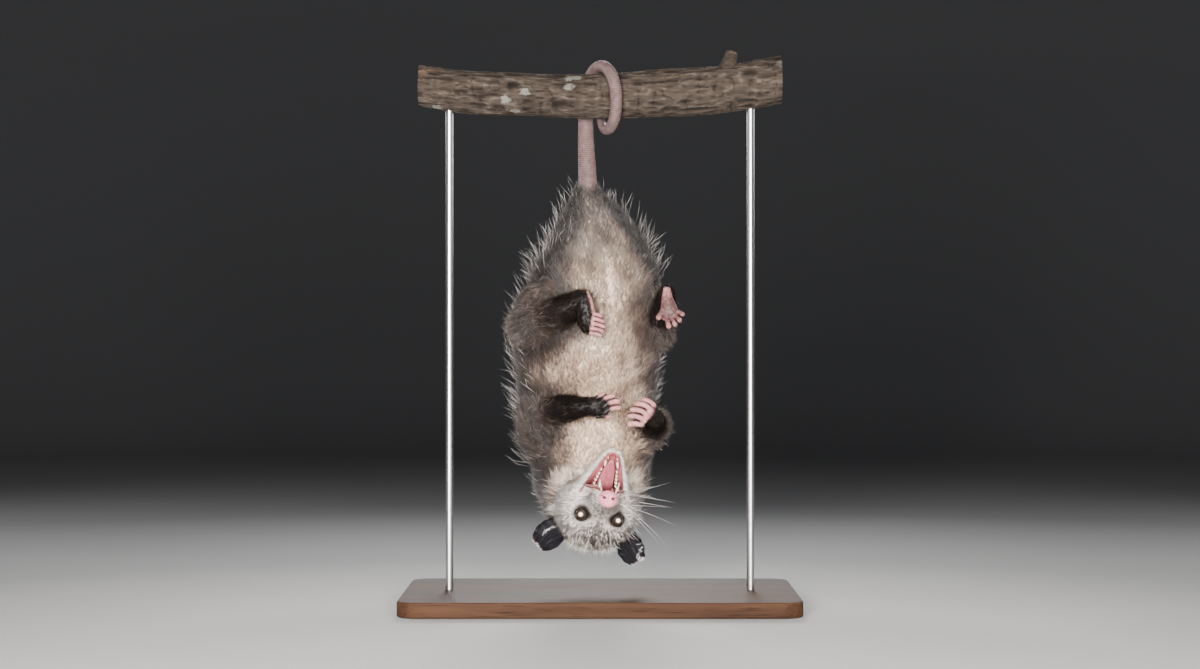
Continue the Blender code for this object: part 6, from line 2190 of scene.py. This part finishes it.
    @staticmethod
    def whiskers(rng: np.random.Generator) -> None:
        """Long tapering hairs from both whisker pads, the brows and the cheeks, longer on the right.

        Args:
            rng: the random numbers.
        """
        rows = []
        for sign, count, span in ((1, 12, 30), (-1, 8, 66)):
            place = rng.uniform(56, 76, count) * MM
            rise = rng.uniform(-17, -6, count) * MM
            tilt = np.linspace(-0.65, 0.75, count)[:, None] + rng.normal(0, 0.06, (count, 1))
            roots = on_head(place, sign * (15.5 - (place / MM - 60) * 0.2) * MM, rise)
            ways = unit(sign * LEFT + AHEAD * rng.uniform(-0.15, 0.35, (count, 1)) + UP * tilt)
            curls = -AHEAD * rng.uniform(0.3, 0.8, (count, 1)) + UP * rng.uniform(0.0, 0.6, (count, 1))
            rows.append((roots, ways, curls, span * MM * rng.uniform(0.55, 1.15, count)))
        back = np.tile(-0.5 * AHEAD, (2, 1))
        for sign in (1, -1):
            roots = on_head(np.array((30, 27)) * MM, sign * np.array((14, 17)) * MM, np.array((21, 19)) * MM)
            ways = unit(UP + AHEAD * 0.5 + sign * LEFT * np.array(((0.2,), (0.6,))))
            rows.append((roots, ways, back, np.array((26, 22)) * MM))
            low = np.array((-14, -20)) * MM
            roots = on_head(np.array((20, 22)) * MM, sign * np.array((40, 38)) * MM, low)
            ways = unit(sign * LEFT + AHEAD * np.array(((0.3,), (0.1,))))
            rows.append((roots, ways, back, np.array((24, 28)) * MM * (1 if sign > 0 else 1.5)))
        roots, ways, curls, lengths = (np.concatenate(column) for column in zip(*rows))
        dark = np.arange(len(roots)) < 12
        radii = np.where(dark, 0.15, 0.19) * MM
        surface, along = bent_cones(roots, ways, curls, lengths, radii, WHISKER_PROFILE, 5)
        dark = np.repeat(dark, len(along) // len(roots))
        values = {"tone": np.where(dark, 0.15 + 0.5 * along, 0.85), "warm": np.full(len(along), 0.1)}
        make_object("whiskers", surface, CoatFinish("whisker_hair", 0.4).make(), Slot.FUR_WHITE, values)

    @staticmethod
    def claws() -> None:
        """A small hooked claw on every digit."""
        parts, shares = [], []
        t = np.linspace(0, 1, 10)
        for key in PAWS:
            roots, ways, curls, lengths, _ = digit_rows(key)
            runs = unit(ways[:, None] + t[None, :, None] * curls[:, None])
            steps = runs[:, :-1] * ((lengths + DIGIT_MORE) / 9)[:, None, None]
            way, blank = runs[:, -1], np.zeros(len(roots))
            starts = roots - ways * DIGIT_ROOT + steps.sum(1) - way * 1.6 * MM
            sizes = (blank + 4.0 * MM, blank + 0.75 * MM, (1.0, 0.98, 0.8, 0.55, 0.12), 8)
            surface, along = bent_cones(starts, way, curls * 0.9, *sizes)
            parts.append(surface)
            shares.append(along)
        finish = HornFinish("claw_horn", (0.17, 0.115, 0.09), (0.055, 0.032, 0.027)).make()
        make_object("claws", joined(parts), finish, Slot.SKIN, {"along": np.concatenate(shares)})

    def build(self) -> None:
        """The head's separate pieces and the claws."""
        eye, ear = EyeFinish().make(), EarFinish().make()
        lid = CoatFinish("lid_rim", 0.4, 0.0).make()
        for side, word in ((1, "left"), (-1, "right")):
            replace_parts(self.eye(side, word + "_ball", eye), "eye_" + word)
            self.lids(side, word, lid)
            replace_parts(self.ear(side, word, ear), "ear_" + word)
        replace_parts(self.nose(), "nose")
        self.mouth(WetFinish("mouth_lining", (0.50, 0.155, 0.17), (0.28, 0.06, 0.07)).make())
        tongue = WetFinish("tongue_skin", (0.56, 0.165, 0.205), (0.43, 0.105, 0.135), 1500.0).make()
        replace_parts(self.tongue(tongue), "tongue")
        self.teeth()
        self.whiskers(np.random.default_rng(SEED))
        self.claws()


# Branch, stand and studio


@dataclass
class Branch:
    """The cut length of branch: a sagging tube with ridged, cracked bark and two sawn ends."""

    columns: int = 300
    sides: int = 150
    cap_rings: int = 22

    def build(self) -> None:
        """The branch, from a tube of bark and two sawn ends, and its broken twig."""
        bark = BarkFinish().make()
        grid, relief = self.bark()
        left, right = self.cap(grid[0], -1)[::-1], self.cap(grid[-1], 1)
        whole = np.concatenate((left[:-1], grid, right[1:]))
        sawn = np.ones(whole.shape[:2])
        inner = slice(self.cap_rings - 1, 1 - self.cap_rings)
        sawn[inner] = 0
        away, wide = self.splits(whole)
        wide[inner] = relief
        values = {"relief": (wide, 1), "sawn": (sawn, 1), "ring": (away, 0)}
        values = {key: np.concatenate((value.ravel(), (end, end))) for key, (value, end) in values.items()}
        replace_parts(make_object("branch", closed_tube(whole), bark, Slot.BARK, values), "perch")
        self.stub(bark)

    def bark(self) -> tuple[Array, Array]:
        """The bark's points and its relief, from 0 in the cracks to 1 on the ridges.

        The radius is the plain one plus slow lumps, long ridges and a crackle of noise.

        Returns:
            The grid of points and the relief.
        """
        x, turn = rounds(np.linspace(-BRANCH_HALF, BRANCH_HALF, self.columns), self.sides)
        calm = 1 - hill(x, 45 * MM)
        waves = 0.6 * np.sin(3 * turn + x / (21 * MM)) + 0.5 * np.sin(2 * turn - x / (34 * MM))
        lump = 1.6 * MM * calm * waves
        y, z = 24 * MM * np.cos(turn), 24 * MM * np.sin(turn)
        ring = np.stack((x * 0.28, y, z), -1)
        ridges = 1 - np.abs(noise(ring, 4.6 * MM, 21))
        ridges = 0.6 * ridges + 0.4 * (1 - np.abs(noise(ring, 2.2 * MM, 22)))
        cracks = np.clip((1 - np.abs(noise(np.stack((x, y, z), -1), 9 * MM, 23))) - 0.93, 0, 1) * 9
        relief = np.clip(ridges - 0.5 * cracks, 0, 1)
        height = (relief - 0.75) * 1.9 * MM * (1 - 0.55 * hill(x - 2 * MM, 24 * MM)) - 0.5 * MM
        reach = BRANCH_RADIUS + BRANCH_TAPER * x / BRANCH_HALF + lump + height
        return np.stack((x, reach * np.cos(turn), branch_middle(x) + reach * np.sin(turn)), -1), relief

    def cap(self, edge: Array, away: float) -> Array:
        """Rings from the rim to the middle of a sawn end, a little dished.

        Args:
            edge: the rim.
            away: 1 at the end towards +X, -1 at the other.

        Returns:
            The rings, from the rim in.
        """
        ends = np.linspace(1, 0.02, self.cap_rings)[:, None, None]
        middle = edge.mean(0)
        disc = middle + (edge - middle)[None] * ends
        disc[..., 0] -= away * 0.4 * MM * (1 - ends[..., 0])
        return disc

    @staticmethod
    def splits(whole: Array) -> tuple[Array, Array]:
        """How far points are from the pith, and 1 less the drying splits that run out from it.

        Args:
            whole: the branch's points.

        Returns:
            The distances and the relief of a sawn end.
        """
        pith = whole[..., 1:].mean(1, keepdims=True) + np.array((5.0, -3.0)) * MM
        away = norm(whole[..., 1:] - pith)
        turn = np.arctan2(whole[..., 2] - pith[..., 1], whole[..., 1] - pith[..., 0])
        wide = np.ones(whole.shape[:2])
        for split, deep in ((0.5, 0.9), (1.9, 0.55), (-0.9, 0.7), (-2.4, 1.0)):
            apart = turn - split - 0.12 * np.sin(away / (3 * MM)) + np.pi
            off = np.abs(apart % (2 * np.pi) - np.pi) * away
            wide -= 0.85 * hill(off, 0.55 * MM) * smoothstep((1 - deep) * 24 * MM, 24 * MM, away)
        return away, np.clip(wide, 0, 1)

    @staticmethod
    def stub(bark: Material) -> None:
        """The broken side twig: a short tapering tube with a ragged end.

        Args:
            bark: its material.
        """
        root = np.array((128 * MM, 0, branch_middle(128 * MM)))
        way = unit(np.array((0.25, -0.35, 0.9)))
        across = unit(np.cross(way, (0, 1, 0)))
        up = np.cross(way, across)
        length, turn = rounds(np.linspace(16, 41, 30) * MM, 40)
        y, z = np.cos(turn), np.sin(turn)
        radius = np.interp(length / MM, (16, 24, 30, 41), (14, 9.5, 8, 6.2)) * MM
        radius = radius + 0.5 * MM * noise(np.stack((length, radius * y, radius * z), -1), 3 * MM, 31)
        ragged = 1.2 * MM * noise(np.stack((y, z, 0 * turn), -1) * 6 * MM, 2 * MM, 32)
        along = length + np.where(length > 40 * MM, ragged, 0)
        surface = closed_tube(placed(root, (way, across, up), (along, radius * y, radius * z)))
        zeros = np.zeros(len(surface[0]))
        sawn = zeros.copy()
        sawn[-1] = 1
        values = {"relief": zeros + 0.6 + 0.4 * sawn, "sawn": sawn, "ring": zeros}
        make_object("branch_stub", surface, bark, Slot.BARK, values)


@dataclass
class Stand:
    """The plain display stand: a flat wooden base with eased edges, and two steel rods."""

    width: float = 410 * MM
    depth: float = 252 * MM
    thickness: float = 16 * MM
    corner: float = 22 * MM
    ease: float = 2.0 * MM

    def build(self) -> None:
        """The base, of rings with rounded corners, a quarter circle at each edge, and the rods' finish."""
        turn = np.linspace(0, 2 * np.pi, 4 * 24, endpoint=False) + np.pi / 96
        ways = np.stack((np.cos(turn), np.sin(turn)), -1)
        middle = np.sign(ways) * (self.width / 2 - self.corner, self.depth / 2 - self.corner)
        levels = [(self.ease, 0.0)]
        for a in np.linspace(0.3, np.pi / 2, 5):
            levels.append((self.ease * (1 - math.sin(a)), self.ease * (1 - math.cos(a))))
        for a in np.linspace(0, np.pi / 2, 6):
            levels.append((self.ease * (1 - math.cos(a)), self.thickness - self.ease * (1 - math.sin(a))))
        rings = [(middle + (self.corner - inset) * ways, height) for inset, height in levels]
        surface = closed_tube(np.array([np.insert(ring, 2, height, axis=1) for ring, height in rings]))
        base = make_object("base_board", surface, WoodFinish().make(), Slot.WOOD, smooth=False)
        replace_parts(base, "stand_base")
        steel = SteelFinish().make()
        for name in ("stand_rod_left", "stand_rod_right"):
            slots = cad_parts[name].data.materials
            slots.clear()
            slots.append(steel)


# Rows of name, place, target's height, size, power, colour and spread
LIGHTS = (
    ("key", (-0.45, -2.5, 0.5), 0.28, 0.5, 138, (1.0, 0.96, 0.92), 180),
    ("low", (0.35, -2.3, 0.42), 0.10, 0.5, 62, (1.0, 0.97, 0.94), 180),
    ("rim_left", (-1.4, 1.0, 1.0), 0.28, 0.7, 12, (1.0, 1.0, 1.0), 180),
    ("rim_right", (1.4, 0.9, 0.9), 0.28, 0.7, 10, (1.0, 1.0, 1.0), 180),
    ("back", (0.0, 2.1, 1.15), 0.28, 0.8, 5, (1.0, 1.0, 1.0), 60),
)


@dataclass
class Studio:
    """Camera, pale sweep and soft lights."""

    distance: float = 2.6
    height: float = 0.2842
    lens: float = 74.29
    sides: int = 96

    def camera(self) -> None:
        """The photograph's framing: level, straight on, 1.26 m wide at the animal."""
        data = bpy.data.cameras.new("camera")
        data.sensor_width, data.lens, data.clip_start, data.clip_end = 36, self.lens, 0.01, 100
        obj = link("camera", data)
        obj.location = (0, -self.distance, self.height)
        obj.rotation_euler = (math.radians(90), 0, 0)
        bpy.context.scene.camera = obj

    def sweep(self) -> None:
        """A pale floor that curves up into a wall all round by a quarter circle, painted grey further off as
        painted shade.
        """
        bend = np.linspace(0, 0.5 * np.pi, 24)
        reach = np.concatenate(((0.02, 0.6, 1.4, 2.4), 3.4 + 2.4 * np.sin(bend), (5.8, 5.8)))
        rise = np.concatenate((np.zeros(4), 2.4 * (1 - np.cos(bend)), (3.6, 5.0))) - 0.5 * MM
        reach, turn = rounds(reach, self.sides)
        rise = np.broadcast_to(rise[:, None], reach.shape)
        grid = np.stack((reach * np.cos(turn), reach * np.sin(turn), rise), -1)
        points = np.vstack((grid.reshape(-1, 3), ((0, 0, -0.5 * MM),)))
        first = np.arange(self.sides)
        blank = np.full(self.sides, -1)
        middle = np.stack((blank + len(points), first, (first + 1) % self.sides, blank), -1)
        faces = np.vstack((grid_faces(len(grid), self.sides, True)[:, ::-1], middle))
        mesh = fill_mesh("floor", (points, faces))
        mesh.materials.append(self.paper())
        link("floor", mesh)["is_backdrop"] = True

    @staticmethod
    def paper() -> Material:
        """The sweep's finish: pale near the stand, grey further off as a painted falloff of light, darker
        behind than in front.
        """
        s = Shader("studio_sweep")
        pale = s.ramp(s.noise(3.0, 4), (0.3, 0.56, 0.555, 0.545), (0.7, 0.60, 0.595, 0.585))
        moved = s.node("Mapping", Vector=s.place(), Location=(0, 0.45, 0)).outputs["Vector"]
        far = s.node("VectorMath", _operation="LENGTH", i0=moved).outputs["Value"]
        # Painted shade: the floor and wall darken with distance from a point 0.45 m in front of the stand.
        stops = ((0.10, 0, 0, 0), (0.20, 0.55, 0.55, 0.55), (0.36, 0.88, 0.88, 0.88), (0.7, 1, 1, 1))
        return s.finish(s.mix(s.ramp(s.times(far, 0.2), *stops), pale, (0.085, 0.088, 0.095)), 0.85)

    @staticmethod
    def lights() -> None:
        """Soft square lights, each turned to its target on the animal's axis."""
        for name, place, target, size, power, tint, spread in LIGHTS:
            data = bpy.data.lights.new(name, "AREA")
            data.size, data.energy, data.color, data.spread = size, power, tint, math.radians(spread)
            obj = link(name, data)
            obj.location = place
            way = unit(np.array(place, float) - np.array((0, 0, target)))
            obj.rotation_euler = (math.acos(way[2]), 0, math.atan2(way[1], way[0]) + math.pi / 2)

    def build(self) -> None:
        """Everything of the studio."""
        self.camera()
        self.sweep()
        self.lights()
        world = bpy.data.worlds.new("studio")
        world.use_nodes = True
        sockets = world.node_tree.nodes["Background"].inputs
        sockets["Color"].default_value, sockets["Strength"].default_value = (0.52, 0.52, 0.53, 1), 0.35
        bpy.context.scene.world = world


LIMBS = ("upper_arm", "forearm", "hand", "thigh", "shin", "foot")
FLESH = (
    "torso", "neck", "head", "lower_jaw",
    *(f"{limb}_{side}" for limb in LIMBS for side in ("left", "right")),
    "tail_base", "tail_riser", "tail_crest", "tail_front", "tail_tip",
)


def main() -> None:
    """Builds every piece in order."""
    logging.basicConfig(level=logging.INFO, format="%(message)s")
    Studio().build()
    body = Body()
    markings = Markings(body)
    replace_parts(Skin(body, markings).build(), *FLESH)
    Face().build()
    Branch().build()
    Stand().build()
    coat = Coat(body, markings)
    for seed, patch in enumerate([*trunk_patches(), *head_patches(), *limb_patches()]):
        coat.grow(patch, seed)
    LOG.info("coat: %d triangles", coat.triangles)
    pairs = (("cad", CAD_BOX), ("visual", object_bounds()))
    boxes = {name: [list(corner) for corner in box] for name, box in pairs}


if __name__ == "__main__":
    main()
